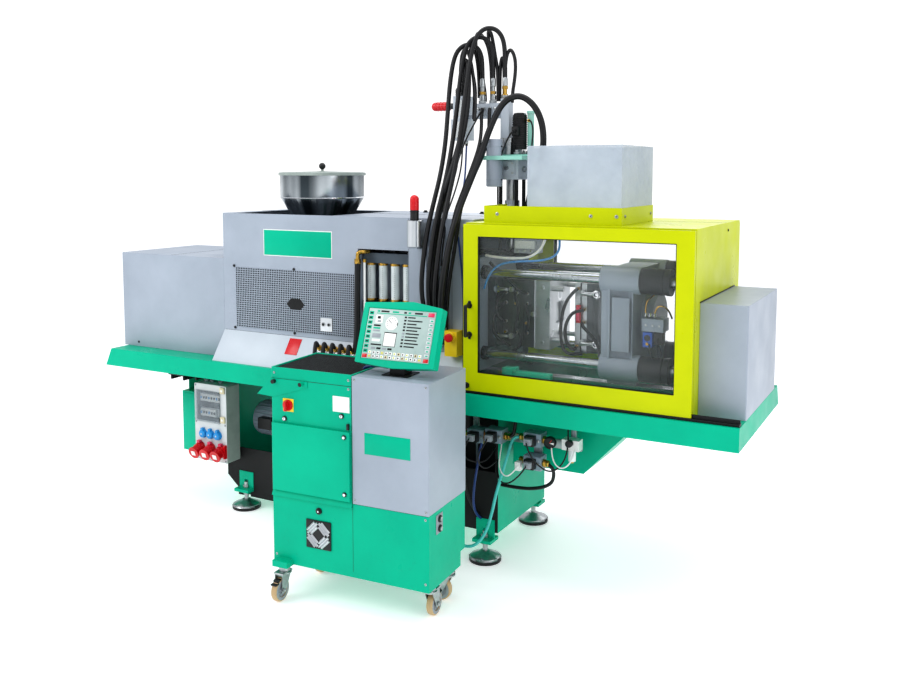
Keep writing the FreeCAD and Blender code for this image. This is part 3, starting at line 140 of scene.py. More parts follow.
# %% Powder coat
def powder_coat(name, low, high, rough, peel_mm=2.2, peel_depth=0.25, dirt="#3A3F3C", gloss=0.5):
    material, tree, shader, place = start_material(name)
    clouds = add(tree, "ShaderNodeTexNoise", {"Scale": 2.5, "Detail": 5.0, "Roughness": 0.6},
                 {"Vector": place})
    tone = two_tones(tree, clouds.outputs["Fac"], low, high)
    scuffs = add(tree, "ShaderNodeTexNoise", {"Scale": 38.0, "Detail": 6.0, "Roughness": 0.7},
                 {"Vector": place})
    height = add(tree, "ShaderNodeSeparateXYZ", {}, {0: place})
    low_down = add(tree, "ShaderNodeMapRange", {1: 0.0, 2: 0.55, 3: 0.22, 4: 0.02},
                   {0: height.outputs["Z"]})
    worn = add(tree, "ShaderNodeMapRange", {1: 0.58, 2: 0.74}, {0: scuffs.outputs["Fac"]})
    amount = add(tree, "ShaderNodeMath", {"operation": "MULTIPLY"},
                 {0: worn.outputs[0], 1: low_down.outputs[0]})
    mix = add(tree, "ShaderNodeMix", {"data_type": "RGBA", 7: linear(dirt)},
              {0: amount.outputs[0], 6: tone})
    wiped = add(tree, "ShaderNodeTexNoise", {"Scale": 7.0, "Detail": 3.0}, {"Vector": place})
    shine = add(tree, "ShaderNodeMapRange", {1: 0.3, 2: 0.7, 3: rough - 0.06, 4: rough + 0.08},
                {0: wiped.outputs["Fac"]})
    peel = add(tree, "ShaderNodeTexNoise", {"Scale": 1000 / peel_mm / 2, "Detail": 1.0},
               {"Vector": place})
    bump = add(tree, "ShaderNodeBump", {"Strength": peel_depth, "Distance": 0.0003},
               {"Height": peel.outputs["Fac"]})
    tree.links.new(mix.outputs[2], shader.inputs["Base Color"])
    tree.links.new(shine.outputs[0], shader.inputs["Roughness"])
    tree.links.new(bump.outputs["Normal"], shader.inputs["Normal"])
    shader.inputs["IOR"].default_value = 1.5
    shader.inputs["Specular IOR Level"].default_value = gloss
    return material


teal_coat = powder_coat("powder_coat_teal", "#00A887", "#00B993", 0.33, gloss=0.12)
lime_coat = powder_coat("powder_coat_lime", "#BCC600", "#CBD400", 0.32, gloss=0.16)
silver_coat = powder_coat("powder_coat_silver", "#98A1AD", "#A7B0BC", 0.36, gloss=0.4)
mint_coat = powder_coat("powder_coat_mint", "#93CFC0", "#A2D9CB", 0.34, gloss=0.3)
pale_coat = powder_coat("powder_coat_pale_grey", "#B3BBC4", "#C1C9D1", 0.34, gloss=0.4)
black_coat = powder_coat("powder_coat_black", "#0C0D0F", "#15171A", 0.42, 1.6, 0.12, "#33363A", 0.35)
cast_coat = powder_coat("machine_enamel_grey", "#7E8994", "#929DA8", 0.40, 5.0, 0.5)
valve_coat = powder_coat("enamel_blue_grey", "#7F909C", "#93A4AE", 0.38, 3.0, 0.4)
print("powder coats:", teal_coat.name, lime_coat.name, silver_coat.name)

# %% [markdown]
# Brushed stainless steel is sheet drawn past a belt, so its grain is fine scratches all one way. A noise
# squeezed 200 times thinner across than along gives them. The real scratches are under 0.1 mm, too fine to
# show, so they are drawn near 1 mm. Round shells are brushed round their axis, flat bars along their length.

# %% Bare metals
def bare_metal(name, low, high, rough, grain, depth=0.12, spread=0.07):
    material, tree, shader, place = start_material(name)
    squeeze = add(tree, "ShaderNodeMapping", {"Scale": grain}, {"Vector": place})
    lines = add(tree, "ShaderNodeTexNoise", {"Scale": 1.0, "Detail": 4.0, "Roughness": 0.65},
                {"Vector": squeeze.outputs["Vector"]})
    tone = two_tones(tree, lines.outputs["Fac"], low, high, 0.25, 0.75)
    clouds = add(tree, "ShaderNodeTexNoise", {"Scale": 9.0, "Detail": 3.0}, {"Vector": place})
    shine = add(tree, "ShaderNodeMapRange", {1: 0.3, 2: 0.7, 3: rough - spread, 4: rough + spread},
                {0: clouds.outputs["Fac"]})
    bump = add(tree, "ShaderNodeBump", {"Strength": depth, "Distance": 0.0004},
               {"Height": lines.outputs["Fac"]})
    tree.links.new(tone, shader.inputs["Base Color"])
    tree.links.new(shine.outputs[0], shader.inputs["Roughness"])
    tree.links.new(bump.outputs["Normal"], shader.inputs["Normal"])
    shader.inputs["Metallic"].default_value = 1.0
    return material


brushed_steel = bare_metal("stainless_steel_brushed", "#B9BDC0", "#D9DCDE", 0.27, (4, 4, 900))
ground_steel = bare_metal("machined_steel_ground", "#9FA4A8", "#C6CACD", 0.24, (600, 5, 5))
bright_plate = bare_metal("steel_plate_milled", "#A9ADB0", "#CFD2D4", 0.33, (5, 700, 700))
zinc_steel = bare_metal("zinc_plated_steel", "#9DA2A4", "#C3C6C6", 0.32, (60, 60, 60), 0.3)
anodised = bare_metal("aluminium_anodised", "#C2C6C9", "#DADDDF", 0.36, (8, 500, 8))
chrome = bare_metal("steel_chromed", "#D0D3D6", "#E6E8EA", 0.11, (90, 90, 90), 0.02, 0.03)
brass = bare_metal("brass_turned", "#B08A3E", "#CFA957", 0.27, (700, 700, 4))
print("bare metals:", brushed_steel.name, ground_steel.name, brass.name)

# %% [markdown]
# Moulded plastic leaves a sparked texture on its mould: grains near 0.8 mm, shallow and even. Rubber is the
# same thing duller, darker and dusty, and its dust shows as a paler tone in soft patches.

# %% Moulded plastics and rubber
def moulded(name, low, high, rough, grain_mm=0.9, depth=0.2, cloud=12.0, ior=1.49):
    material, tree, shader, place = start_material(name)
    clouds = add(tree, "ShaderNodeTexNoise", {"Scale": cloud, "Detail": 5.0, "Roughness": 0.65},
                 {"Vector": place})
    tone = two_tones(tree, clouds.outputs["Fac"], low, high)
    grain = add(tree, "ShaderNodeTexNoise", {"Scale": 1000 / grain_mm / 2, "Detail": 2.0},
                {"Vector": place})
    bump = add(tree, "ShaderNodeBump", {"Strength": depth, "Distance": 0.0003},
               {"Height": grain.outputs["Fac"]})
    shine = add(tree, "ShaderNodeMapRange", {1: 0.3, 2: 0.7, 3: rough - 0.05, 4: rough + 0.07},
                {0: clouds.outputs["Fac"]})
    tree.links.new(tone, shader.inputs["Base Color"])
    tree.links.new(shine.outputs[0], shader.inputs["Roughness"])
    tree.links.new(bump.outputs["Normal"], shader.inputs["Normal"])
    shader.inputs["IOR"].default_value = ior
    return material


rubber = moulded("rubber_extruded_black", "#08080A", "#0F0F12", 0.45, 1.5, 0.3)
rubber_mat = moulded("rubber_mat_ribbed_black", "#0E1011", "#181A1B", 0.6, 3.0, 0.6)
black_plastic = moulded("nylon_moulded_black", "#0D0E0F", "#17191A", 0.4)
grey_plastic = moulded("abs_moulded_grey", "#8B9197", "#9CA2A8", 0.42)
pale_plastic = moulded("polycarbonate_moulded_pale_grey", "#C4C8C9", "#D3D6D6", 0.4)
# This grey-green is the hopper lid's own colour; on the socket box it serves as painted side shade.
grey_green_lid_and_side_shade = moulded("abs_grey_green_and_painted_side_shade", "#8F9A94", "#A1ABA5", 0.38)
white_plastic = moulded("nylon_moulded_white", "#E4E5E2", "#F1F1EE", 0.36)
red_plastic = moulded("abs_moulded_red", "#BE0A16", "#D2131F", 0.28, 1.2, 0.1)
pink_plastic = moulded("abs_moulded_faded_red", "#D62C55", "#E04068", 0.36)
blue_plastic = moulded("abs_moulded_sky_blue", "#1787C9", "#2398DA", 0.34)
solenoid_blue = moulded("abs_moulded_dark_blue", "#1D4FA8", "#2C63C0", 0.34)
slate_plastic = moulded("abs_moulded_slate", "#3C4852", "#4A5762", 0.36)
yellow_plastic = moulded("abs_moulded_yellow", "#E8C312", "#F5D52A", 0.34)
beige_plastic = moulded("polycarbonate_beige", "#C9BE9C", "#D9CFAF", 0.3)
tread_tan = moulded("polyurethane_cast_tan", "#B89B72", "#C9AD84", 0.45)
blue_nylon = moulded("nylon_tube_light_blue", "#2E7FC0", "#4593D0", 0.3)
aqua_nylon = moulded("nylon_tube_aqua", "#38AFA6", "#4FC4BB", 0.3)
navy_nylon = moulded("pvc_tube_dark_blue", "#17336B", "#20427F", 0.32)
shadow_black = moulded("sheet_steel_in_shadow", "#0B0C0D", "#121314", 0.7)
print("plastics and rubber:", rubber.name, pale_plastic.name, tread_tan.name)

# %% [markdown]
# The guard's pane and the socket lid are clear polycarbonate sheet. What the eye reads is a thin veil of grey
# with a hard gloss on it, so most of the light passes straight through and the rest is a smooth reflection.
# Part-transparent sheet also lets light fall on the mould behind it, which bending glass would not.

# %% Clear sheet and lenses
def clear_sheet(name, low, high, veil, rough=0.06):
    material, tree, shader, place = start_material(name)
    clouds = add(tree, "ShaderNodeTexNoise", {"Scale": 6.0, "Detail": 3.0}, {"Vector": place})
    tone = two_tones(tree, clouds.outputs["Fac"], low, high)
    film = add(tree, "ShaderNodeMapRange", {1: 0.3, 2: 0.7, 3: veil * 0.8, 4: veil * 1.25},
               {0: clouds.outputs["Fac"]})
    tree.links.new(tone, shader.inputs["Base Color"])
    tree.links.new(film.outputs[0], shader.inputs["Alpha"])
    shader.inputs["Roughness"].default_value = rough
    shader.inputs["IOR"].default_value = 1.58
    shader.inputs["Specular IOR Level"].default_value = 1.0
    return material


clear_pane = clear_sheet("polycarbonate_sheet_clear", "#C3CCCB", "#D5DCDB", 0.045)
smoked_pane = clear_sheet("polycarbonate_sheet_smoked", "#7F8C94", "#93A0A8", 0.3)
guard_pane = clear_sheet("polycarbonate_sheet_frosted", "#BBC6D1", "#C0CAD4", 0.72, 0.16)
sight_tube = clear_sheet("acrylic_tube_pale", "#DDE6E6", "#EDF3F3", 0.85, 0.12)
print("clear sheets:", clear_pane.name, smoked_pane.name)

# %% [markdown]
# Hydraulic hoses are fixed lengths of braided rubber. They leave a fitting straight, arch over under their
# own stiffness and hang. One open NURBS spline through a few guiding points bends as they do, with no kinks.
# Both ends go back into the machine: the tops into the upright unit's fittings, the bottoms into the ledge.

# %% Hoses
HOSES = {
    "hose_left": (22, 1.748, [
        (412, 0, 2250), (412, 0, 2335), (409, -8, 2415), (373, -18, 2457),
        (320, -34, 2455), (286, -56, 2405), (282, -92, 2285), (296, -140, 2140),
        (318, -204, 1975), (330, -276, 1820), (328, -340, 1690), (318, -384, 1560),
        (306, -402, 1420), (296, -402, 1290), (299, -374, 1178), (300, -356, 1100),
        (300, -356, 1060)]),
    "hose_middle": (22, 1.807, [
        (470, 0, 2250), (470, 0, 2345), (469, -8, 2440), (434, -20, 2487),
        (382, -36, 2488), (348, -58, 2440), (342, -96, 2310), (350, -146, 2150),
        (362, -212, 1985), (370, -282, 1830), (368, -344, 1700), (358, -388, 1570),
        (346, -404, 1430), (334, -406, 1300), (329, -376, 1178), (328, -356, 1100),
        (328, -356, 1060)]),
    "hose_right": (22, 1.888, [
        (534, 0, 2250), (534, 0, 2360), (532, -8, 2470), (496, -22, 2524),
        (440, -42, 2528), (404, -66, 2478), (392, -108, 2340), (396, -160, 2170),
        (406, -222, 2000), (412, -290, 1840), (410, -350, 1705), (400, -394, 1570),
        (388, -410, 1430), (374, -412, 1300), (359, -378, 1178), (356, -356, 1100),
        (356, -356, 1060)]),
    "hose_loop": (30, 2.073, [
        (672, -44, 1456), (672, -44, 1550), (676, -50, 1650), (698, -58, 1745),
        (738, -64, 1840), (768, -68, 1950), (764, -74, 2065), (722, -84, 2155),
        (650, -98, 2200), (576, -118, 2165), (528, -148, 2050), (504, -205, 1910),
        (486, -275, 1790), (470, -342, 1680), (452, -388, 1560), (432, -408, 1430),
        (412, -412, 1310), (396, -392, 1200), (390, -356, 1115), (390, -356, 1060)]),
    "coolant_hose": (14, 0.739, [
        (789, -340, 641), (764, -340, 641), (744, -352, 622), (738, -372, 574),
        (722, -402, 490), (708, -440, 396), (709, -492, 306), (698, -534, 232),
        (662, -560, 184), (612, -570, 176), (570, -580, 204), (546, -606, 239),
        (548, -649, 240)]),
}


# Blender pads a curve's box by its points' radius, so that is small and the bevel depth makes up for it.
SLIM = 0.005


def pipe(name, routes, thickness, material, body, order=3):
    curve = bpy.data.curves.new(name, "CURVE")
    curve.dimensions = "3D"
    for route in routes:
        spline = curve.splines.new("NURBS")
        spline.points.add(len(route) - 1)
        for point, place in zip(spline.points, route):
            point.co = (*at(*place), 1.0)
            point.radius = SLIM
        spline.order_u = order
        spline.use_endpoint_u = True
    curve.bevel_depth = thickness / 2000 / SLIM
    curve.bevel_resolution = 5
    curve.resolution_u = 10
    curve.use_fill_caps = True
    curve.materials.append(material)
    piece = bpy.data.objects.new(name, curve)
    bpy.context.scene.collection.objects.link(piece)
    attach(piece, body)
    return piece


hoses = {}
for node, (thickness, length, route) in HOSES.items():
    finish = aqua_nylon if node == "coolant_hose" else rubber
    hoses[node] = pipe(node + "_line", [route], thickness, finish, "machine")
    hoses[node].data.resolution_u = 16
    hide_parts(node)
print("hoses made:", ", ".join(hoses))

# %% [markdown]
# Small fittings are built from a few bmesh operators. A block is a cube stretched to its corners, a bar is a
# cone or cylinder between two points, and a turned part is a half outline spun once round. A piece given an
# edge width is bevelled before it is finished, because a real edge catches a line of light and a perfect one
# doesn't.

# %% Building helpers
def tint(verts, index):
    for face in {face for vert in verts for face in vert.link_faces}:
        face.material_index = index


def block(bm, x0, x1, y0, y1, z0, z1, index=0):
    middle = Vector((x0 + x1, y0 + y1, z0 + z1)) / 2
    size = Matrix.Diagonal((x1 - x0, y1 - y0, z1 - z0, 1))
    verts = bmesh.ops.create_cube(bm, size=1, matrix=Matrix.Translation(middle) @ size)["verts"]
    tint(verts, index)
    return verts


def bar(bm, start, end, radius, index=0, sides=24, end_radius=None):
    start, end = Vector(start), Vector(end)
    turn = (end - start).to_track_quat("Z", "Y").to_matrix().to_4x4()
    place = Matrix.Translation((start + end) / 2) @ turn
    verts = bmesh.ops.create_cone(
        bm, cap_ends=True, segments=sides, radius1=radius, depth=(end - start).length,
        radius2=radius if end_radius is None else end_radius, matrix=place)["verts"]
    tint(verts, index)
    return verts


def turned(bm, centre, outline, index=0, steps=48, axis=(0, 0, 1), first=(1, 0, 0)):
    verts = [bm.verts.new(Vector(centre) + Vector(first) * r + Vector(axis) * h) for r, h in outline]
    edges = [bm.edges.new(pair) for pair in zip(verts, verts[1:])]
    made = bmesh.ops.spin(bm, geom=verts + edges, cent=centre, axis=axis, steps=steps,
                          angle=math.tau, use_merge=True)
    new = [g for g in made["geom_last"] if isinstance(g, bmesh.types.BMVert)] + verts
    tint(new, index)
    bmesh.ops.remove_doubles(bm, verts=bm.verts[:], dist=0.01)


def finish_piece(bm, name, materials, body, edge=1.0, place=BED, angle=40):
    sharp = [e for e in bm.edges if e.is_manifold and e.calc_face_angle(0) > math.radians(angle)]
    if edge and sharp:
        bmesh.ops.bevel(bm, geom=sharp, offset=edge, offset_type="OFFSET", segments=2, profile=0.5,
                        affect="EDGES", clamp_overlap=True, material=-1)
    bmesh.ops.transform(bm, matrix=place, verts=bm.verts[:])
    bmesh.ops.recalc_face_normals(bm, faces=bm.faces[:])
    mesh = bpy.data.meshes.new(name)
    bm.to_mesh(mesh)
    bm.free()
    for material in materials:
        mesh.materials.append(material)
    mesh.shade_smooth()
    mesh.set_sharp_from_angle(angle=math.radians(38))
    piece = bpy.data.objects.new(name, mesh)
    bpy.context.scene.collection.objects.link(piece)
    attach(piece, body)
    return piece


# %% [markdown]
# Most of the machine is already the right shape in the CAD. Those nodes are copied, their loose triangles are
# merged into whole faces, and their edges are rounded by a Bevel modifier that only takes corners sharper
# than 35 degrees. The copy stands for its node. Faces can be given a second finish by where they are.

# %% Dressing a CAD node
NODE_BODY = {name: body for body, names in frame["record"]["behaviour"]["bodies"].items()
             for name in names}


def dress(node, material, edge=1.2, others=()):
    """others holds (material, test) pairs, and the first test that a face's middle passes wins."""
    mesh = frame["nodes"][node].data.copy()
    mesh.name = node + "_finished"
    bm = bmesh.new()
    bm.from_mesh(mesh)
    bmesh.ops.remove_doubles(bm, verts=bm.verts[:], dist=0.00002)
    bmesh.ops.dissolve_limit(bm, angle_limit=0.015, verts=bm.verts[:], edges=bm.edges[:],
                             use_dissolve_boundaries=False, delimit=set())
    back = BED.inverted()
    for face in bm.faces:
        face.material_index = 0
        face.smooth = True
        middle = back @ face.calc_center_median()
        for index, (_, test) in enumerate(others, 1):
            if test(middle, face.normal):
                face.material_index = index
                break
    mesh.materials.clear()
    bm.to_mesh(mesh)
    bm.free()
    for finish in [material] + [finish for finish, _ in others]:
        mesh.materials.append(finish)
    mesh.set_sharp_from_angle(angle=math.radians(35))
    piece = bpy.data.objects.new(node + "_finished", mesh)
    bpy.context.scene.collection.objects.link(piece)
    if edge:
        bevel = piece.modifiers.new("rounded_edges", "BEVEL")
        bevel.width = edge / 1000
        bevel.segments = 2
        bevel.limit_method = "ANGLE"
        bevel.angle_limit = math.radians(35)
        bevel.harden_normals = True
    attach(piece, NODE_BODY[node])
    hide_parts(node)
    return piece


print("node_body has", len(NODE_BODY), "nodes")

# %% [markdown]
# The machine's carcass first: base, tray, chute, covers and hood. All of it is folded sheet, powder coated
# in two families of colour, teal below and silver above, with a lime guard between them.

# %% Carcass
def in_box(x0, x1, y0, y1, z0, z1):
    return lambda m, n: x0 < m.x < x1 and y0 < m.y < y1 and z0 < m.z < z1


dress("base_frame", teal_coat, 2.0, [(shadow_black, lambda m, n: -1010 < m.x < 626
                                      and abs(m.y) < 281 and m.z > 150)])
dress("levelling_feet", zinc_steel, 1.5, [(rubber, lambda m, n: m.z < 18.5)])
dress("drip_tray", teal_coat, 2.0)
dress("parts_chute", teal_coat, 2.0)
dress("rear_cover", silver_coat, 2.5)
dress("machine_housing", silver_coat, 2.5)
dress("front_panel", silver_coat, 1.5, [
    (pale_coat, lambda m, n: m.z < 989 and m.y < -328 and m.x < 540 and not
     (250 < m.x < 480 and m.z > 984)),
    (yellow_plastic, in_box(413, 479, -391, -328, 984, 1104)),
    (black_coat, in_box(277, 414, -376, -326, 1033, 1061))])
dress("end_cover", silver_coat, 2.5)
dress("hood", lime_coat, 2.5)
dress("hood_collar", lime_coat, 1.2)
dress("splash_guard", guard_pane, 0.8)
dress("gate_rail", black_coat, 1.0)
dress("gate_frame", lime_coat, 1.5)
dress("gate_pane", clear_pane, 0.5)
dress("gate_handle", black_plastic, 0)
dress("bed_rails", ground_steel, 1.5)
print("carcass dressed")

# %% [markdown]
# Inside the guard everything is iron and steel: cast platens in grey machine enamel, ground tie bars, and a
# tool whose plates are milled bright while its blocks have gone dark with oil.

# %% Clamp, injection units and small assemblies
# A spun drum reflects the room as upright bands, dark and bright by turns, while its brushing runs round it.
# Here those bands are a painted reflection in the base colour; they follow the angle about the drum's axis,
# so they stay upright on the cone as well.
def steel_with_painted_reflection(name, dark, bright, centre):
    material, tree, shader, place = start_material(name)
    parts = add(tree, "ShaderNodeSeparateXYZ", {}, {"Vector": place})
    across = add(tree, "ShaderNodeMath", {1: -centre[0]}, {0: parts.outputs["X"]})
    along = add(tree, "ShaderNodeMath", {1: -centre[1]}, {0: parts.outputs["Y"]})
    turn = add(tree, "ShaderNodeMath", {}, {0: across.outputs[0], 1: along.outputs[0]})
    turn.operation = "ARCTAN2"
    # Painted reflection: noise over the angle about the axis picks dark and bright bands for the base colour.
    bands = add(tree, "ShaderNodeTexNoise", {"Scale": 1.9, "Detail": 1.0})
    bands.noise_dimensions = "1D"
    tree.links.new(turn.outputs[0], bands.inputs["W"])
    tone = two_tones(tree, bands.outputs["Fac"], dark, bright, 0.36, 0.64)
    squeeze = add(tree, "ShaderNodeMapping", {"Scale": (4, 4, 900)}, {"Vector": place})
    lines = add(tree, "ShaderNodeTexNoise", {"Scale": 1.0, "Detail": 4.0},
                {"Vector": squeeze.outputs["Vector"]})
    bump = add(tree, "ShaderNodeBump", {"Strength": 0.12, "Distance": 0.0004},
               {"Height": lines.outputs["Fac"]})
    tree.links.new(tone, shader.inputs["Base Color"])
    tree.links.new(bump.outputs["Normal"], shader.inputs["Normal"])
    shader.inputs["Metallic"].default_value = 1.0
    shader.inputs["Roughness"].default_value = 0.24
    return material


# The hopper's steel carries painted reflection bands in its base colour.
drum_steel_painted_reflection = steel_with_painted_reflection("stainless_steel_painted_reflection", "#3E4549", "#C3C9CC", at(HOPPER_X, 0, 0))
oiled_block = bare_metal("tool_steel_oiled", "#4A4D50", "#6A6D70", 0.38, (300, 300, 300), 0.2)
dress("fixed_platen", cast_coat, 3.0)
dress("moving_platen", cast_coat, 3.0)
dress("clamp_cylinders", black_coat, 2.0)
dress("end_plate", bright_plate, 3.0)
dress("tie_bars", ground_steel, 1.5)
dress("mould_half_fixed", oiled_block, 1.5, [(bright_plate, lambda m, n: m.x > 754)])
dress("mould_half_moving", oiled_block, 1.5, [(bright_plate, lambda m, n: m.x < 1014.5)])
dress("injection_carriage", cast_coat, 2.0)
dress("injection_barrel", zinc_steel, 1.0)
dress("plasticising_screw", ground_steel, 0.5)
# The hopper's base colour holds painted reflection bands.
dress("hopper", drum_steel_painted_reflection, 0.8)
dress("hopper_lid", grey_green_lid_and_side_shade, 1.0, [(black_plastic, lambda m, n: m.z > 1850)])
dress("unit_columns", black_coat, 1.2, [(mint_coat, lambda m, n: m.z > 1903)])
dress("unit_carriage", pale_coat, 1.5, [(zinc_steel, lambda m, n: m.z < 1795)])
dress("unit_motor", zinc_steel, 1.0, [
    (black_plastic, lambda m, n: m.z > 1940 and 582 < m.x < 652),
    (mint_coat, lambda m, n: m.x > 653)])
dress("unit_manifold", pale_coat, 1.2, [(zinc_steel, lambda m, n: m.z > 2169 and m.x < 500),
                                        (brass, lambda m, n: m.z > 2191)])
dress("signal_box", pale_coat, 1.5, [(red_plastic, lambda m, n: m.x < 229),
                                     (black_plastic, lambda m, n: m.x < 258)])
dress("signal_beacon", grey_plastic, 1.2, [
    (silver_coat, lambda m, n: m.z < 1488.5),
    (red_plastic, lambda m, n: m.z > 1659.5),
    (black_plastic, lambda m, n: m.z > 1612.5)])
dress("flow_regulator", black_coat, 1.5, [(sight_tube, in_box(-110, 182, -300, -240, 1201, 1389)),
                                          (slate_plastic, lambda m, n: m.z > 1389)])
dress("valve_bank", valve_coat, 1.5, [
    (zinc_steel, lambda m, n: m.y > -301 and not (980 < m.x < 1070 and m.z < 661)),
    (white_plastic, in_box(984, 1066, -352, -299, 611, 661)),
    (brass, lambda m, n: any(abs(abs(m.x - x) - 53) < 10 for x in (566, 658, 851)) and m.z < 700
     and m.y < -320)])
# The box's right-facing sides and its back part take the darker grey-green: painted side shade on the pale
# box.
dress("socket_box", pale_plastic, 2.0, [(shadow_black, in_box(-1125, -962, -399, -369, 490, 653)),
                                        (grey_green_lid_and_side_shade, lambda m, n: n.x > 0.7 or m.y > -295.5)])
dress("socket_window", smoked_pane, 0.8)
dress("power_sockets", blue_plastic, 1.0, [(red_plastic, lambda m, n: m.z < 391)])
dress("stop_button", red_plastic, 1.0)
print("assemblies dressed")

# %% [markdown]
# The cart is two boxes on a wide base, all in the same teal, on four castors with silver forks and tan
# treads. The green screen leans on a post.

# %% Cart
dress("cart_base", teal_coat, 1.5)
dress("cart_body", teal_coat, 1.5, [(black_plastic, lambda m, n: m.y < -1049.5 and m.z > 935
                                     and abs(m.z - 948) < 10)])
dress("cart_cabinet", silver_coat, 1.5)
dress("cart_door", teal_coat, 1.5)
dress("main_switch", red_plastic, 0.8)
dress("screen_arm", black_coat, 1.2)
dress("screen_housing", teal_coat, 2.0)
for corner in ("front_left", "front_right", "back_left", "back_right"):
    dress("castor_fork_" + corner, zinc_steel, 0.8)
    wheel_low, wheel_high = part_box("castor_wheel_" + corner)
    hub = (wheel_low + wheel_high) / 2
    hub_mm = BED.inverted() @ hub
    dress("castor_wheel_" + corner, tread_tan, 0, [
        (grey_plastic, lambda m, n, c=hub_mm: (m - c).length < 33)])
print("cart dressed")

# %% [markdown]
# The heated zone behind the front panel breathes through a field of square holes, punched 8 mm wide at
# 11.6 mm steps. One cell is a small grid with its middle face taken out. Array modifiers repeat it and a
# Solidify modifier gives the sheet its thickness, so each hole has real walls and its own shadow.

# %% Punched grille
STEP_X, STEP_Z = 11.6, 11.4
cell = bmesh.new()
bmesh.ops.create_grid(cell, x_segments=3, y_segments=3, size=0.5)
for vert in cell.verts:
    vert.co.x = math.copysign(4 if abs(vert.co.x) < 0.3 else STEP_X / 2, vert.co.x)
    vert.co.y = math.copysign(4 if abs(vert.co.y) < 0.3 else STEP_Z / 2, vert.co.y)
middle = [face for face in cell.faces if face.calc_center_median().length < 1]
bmesh.ops.delete(cell, geom=middle, context="FACES")
stand_up = Matrix.Rotation(math.radians(90), 4, "X")
bmesh.ops.transform(cell, matrix=BED @ Matrix.Translation((-889, -327.6, 1018)) @ stand_up,
                    verts=cell.verts[:])
sheet = bpy.data.meshes.new("punched_grille")
cell.to_mesh(sheet)
cell.free()
sheet.materials.append(silver_coat)
grille = bpy.data.objects.new("punched_grille", sheet)
bpy.context.scene.collection.objects.link(grille)
for count, offset in ((67, (STEP_X / 1000, 0, 0)), (28, (0, 0, STEP_Z / 1000))):
    row = grille.modifiers.new("holes", "ARRAY")
    row.count = count
    row.use_relative_offset = False
    row.use_constant_offset = True
    row.constant_offset_displace = offset
    row.use_merge_vertices = True
    row.merge_threshold = 0.0002
wall = grille.modifiers.new("sheet", "SOLIDIFY")
wall.thickness = 0.0022
wall.offset = 1
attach(grille, "machine")

backing = bmesh.new()
block(backing, -894, -118, -327.5, -327.05, 1013, 1330)
finish_piece(backing, "grille_shadow", [shadow_black], "machine", 0.1)
print("grille of", 67 * 28, "holes")

# %% [markdown]
# Cap screws hold every cover. Each is a low head with a dark hexagon socket. One function sets a list of
# them in one mesh, because they share a finish and never move apart.

# %% Screws
FACING = {"front": (0, -1, 0), "back": (0, 1, 0), "right": (1, 0, 0), "left": (-1, 0, 0),
          "up": (0, 0, 1), "down": (0, 0, -1)}


def screws(name, spots, body, head=None, size=6.0, place=BED):
    bm = bmesh.new()
    for x, y, z, side in spots:
        foot, out = Vector((x, y, z)), Vector(FACING[side])
        bar(bm, foot, foot + out * size * 0.18, size * 1.35, sides=20)
        bar(bm, foot + out * size * 0.15, foot + out * size * 0.7, size, sides=20)
        bar(bm, foot + out * size * 0.66, foot + out * size * 0.74, size * 0.5, 1, sides=6)
    return finish_piece(bm, name, [head or zinc_steel, shadow_black], body, size * 0.08, place)


screws("panel_screws", [(x, -329.8, z, "front") for x in (-905, -505, -113)
                        for z in (1006, 1338)], "machine", black_plastic, 5.5)
screws("cover_screws", [(-1635, -327, 862, "front")]
       + [(x, 280, z, "back") for x in (-1735, -1365, -996) for z in (860, 1350)], "machine",
       black_plastic, 5)
screws("end_cover_screws", [(x, 324, z, "back") for x in (1592, 1748) for z in (858, 1285)], "machine",
       zinc_steel, 5)
screws("collar_screws", [(x, -332, 1648, "front") for x in (655, 1100, 1215)]
       + [(1238, y, 1648, "right") for y in (-290, 80)], "machine", zinc_steel, 6)
screws("hood_side_screws", [(1573, y, z, "right") for y, z in
                            ((163, 1575), (390, 1090), (390, 870))], "machine", black_plastic, 5)
screws("hood_back_screws", [(x, 420, z, "back") for x in (560, 600, 1510, 1550) for z in (870, 1240)]
       + [(x, 420, 1575, "back") for x in (600, 1050, 1500)], "machine", black_plastic, 6)
screws("housing_back_screws", [(x, 330, z, "back") for x in (-960, -600, -240, 120, 500)
                               for z in (860, 1595)], "machine", zinc_steel, 6)
print("screws set")

# %% [markdown]
# On the panel sit a dark pressed cut-out with rounded corners, a small bright plate with two sockets, and a
# blank plate above the grille. On the apron there is one plain red field. The apron slopes, so its fittings
# are built flat and turned onto it by one matrix, the way they would be laid on a bench.

# %% Panel fittings
APRON_TILT = math.atan2(105, 154)
APRON = BED @ Matrix.Translation((0, -327, 990)) @ Matrix.Rotation(-APRON_TILT, 4, "X")

cut_out = bmesh.new()
made = bar(cut_out, (-496, -327.2, 1157), (-496, -330.6, 1157), 33, 0, sides=6)
bmesh.ops.rotate(cut_out, verts=made, cent=(-496, -328, 1157),
                 matrix=Matrix.Rotation(math.pi / 6, 3, "Y"))
bmesh.ops.scale(cut_out, verts=made, vec=(1.75, 1, 1),
                space=Matrix.Translation((496, 0, -1157)))
finish_piece(cut_out, "grille_cut_out", [shadow_black], "machine", 0)

sockets = bmesh.new()
block(sockets, -338, -266, -332.4, -327.2, 1032, 1100)
for x in (-319, -285):
    bar(sockets, (x, -332.2, 1067), (x, -335, 1067), 11, 1)
    bar(sockets, (x, -334.9, 1067), (x, -335.4, 1067), 7.5, 2)
finish_piece(sockets, "probe_sockets", [anodised, zinc_steel, shadow_black], "machine", 0.8)

field = bmesh.new()
block(field, -530, -452, -1.6, -0.1, -104, -14)
finish_piece(field, "apron_red_field", [red_plastic], "machine", 0.6, APRON)

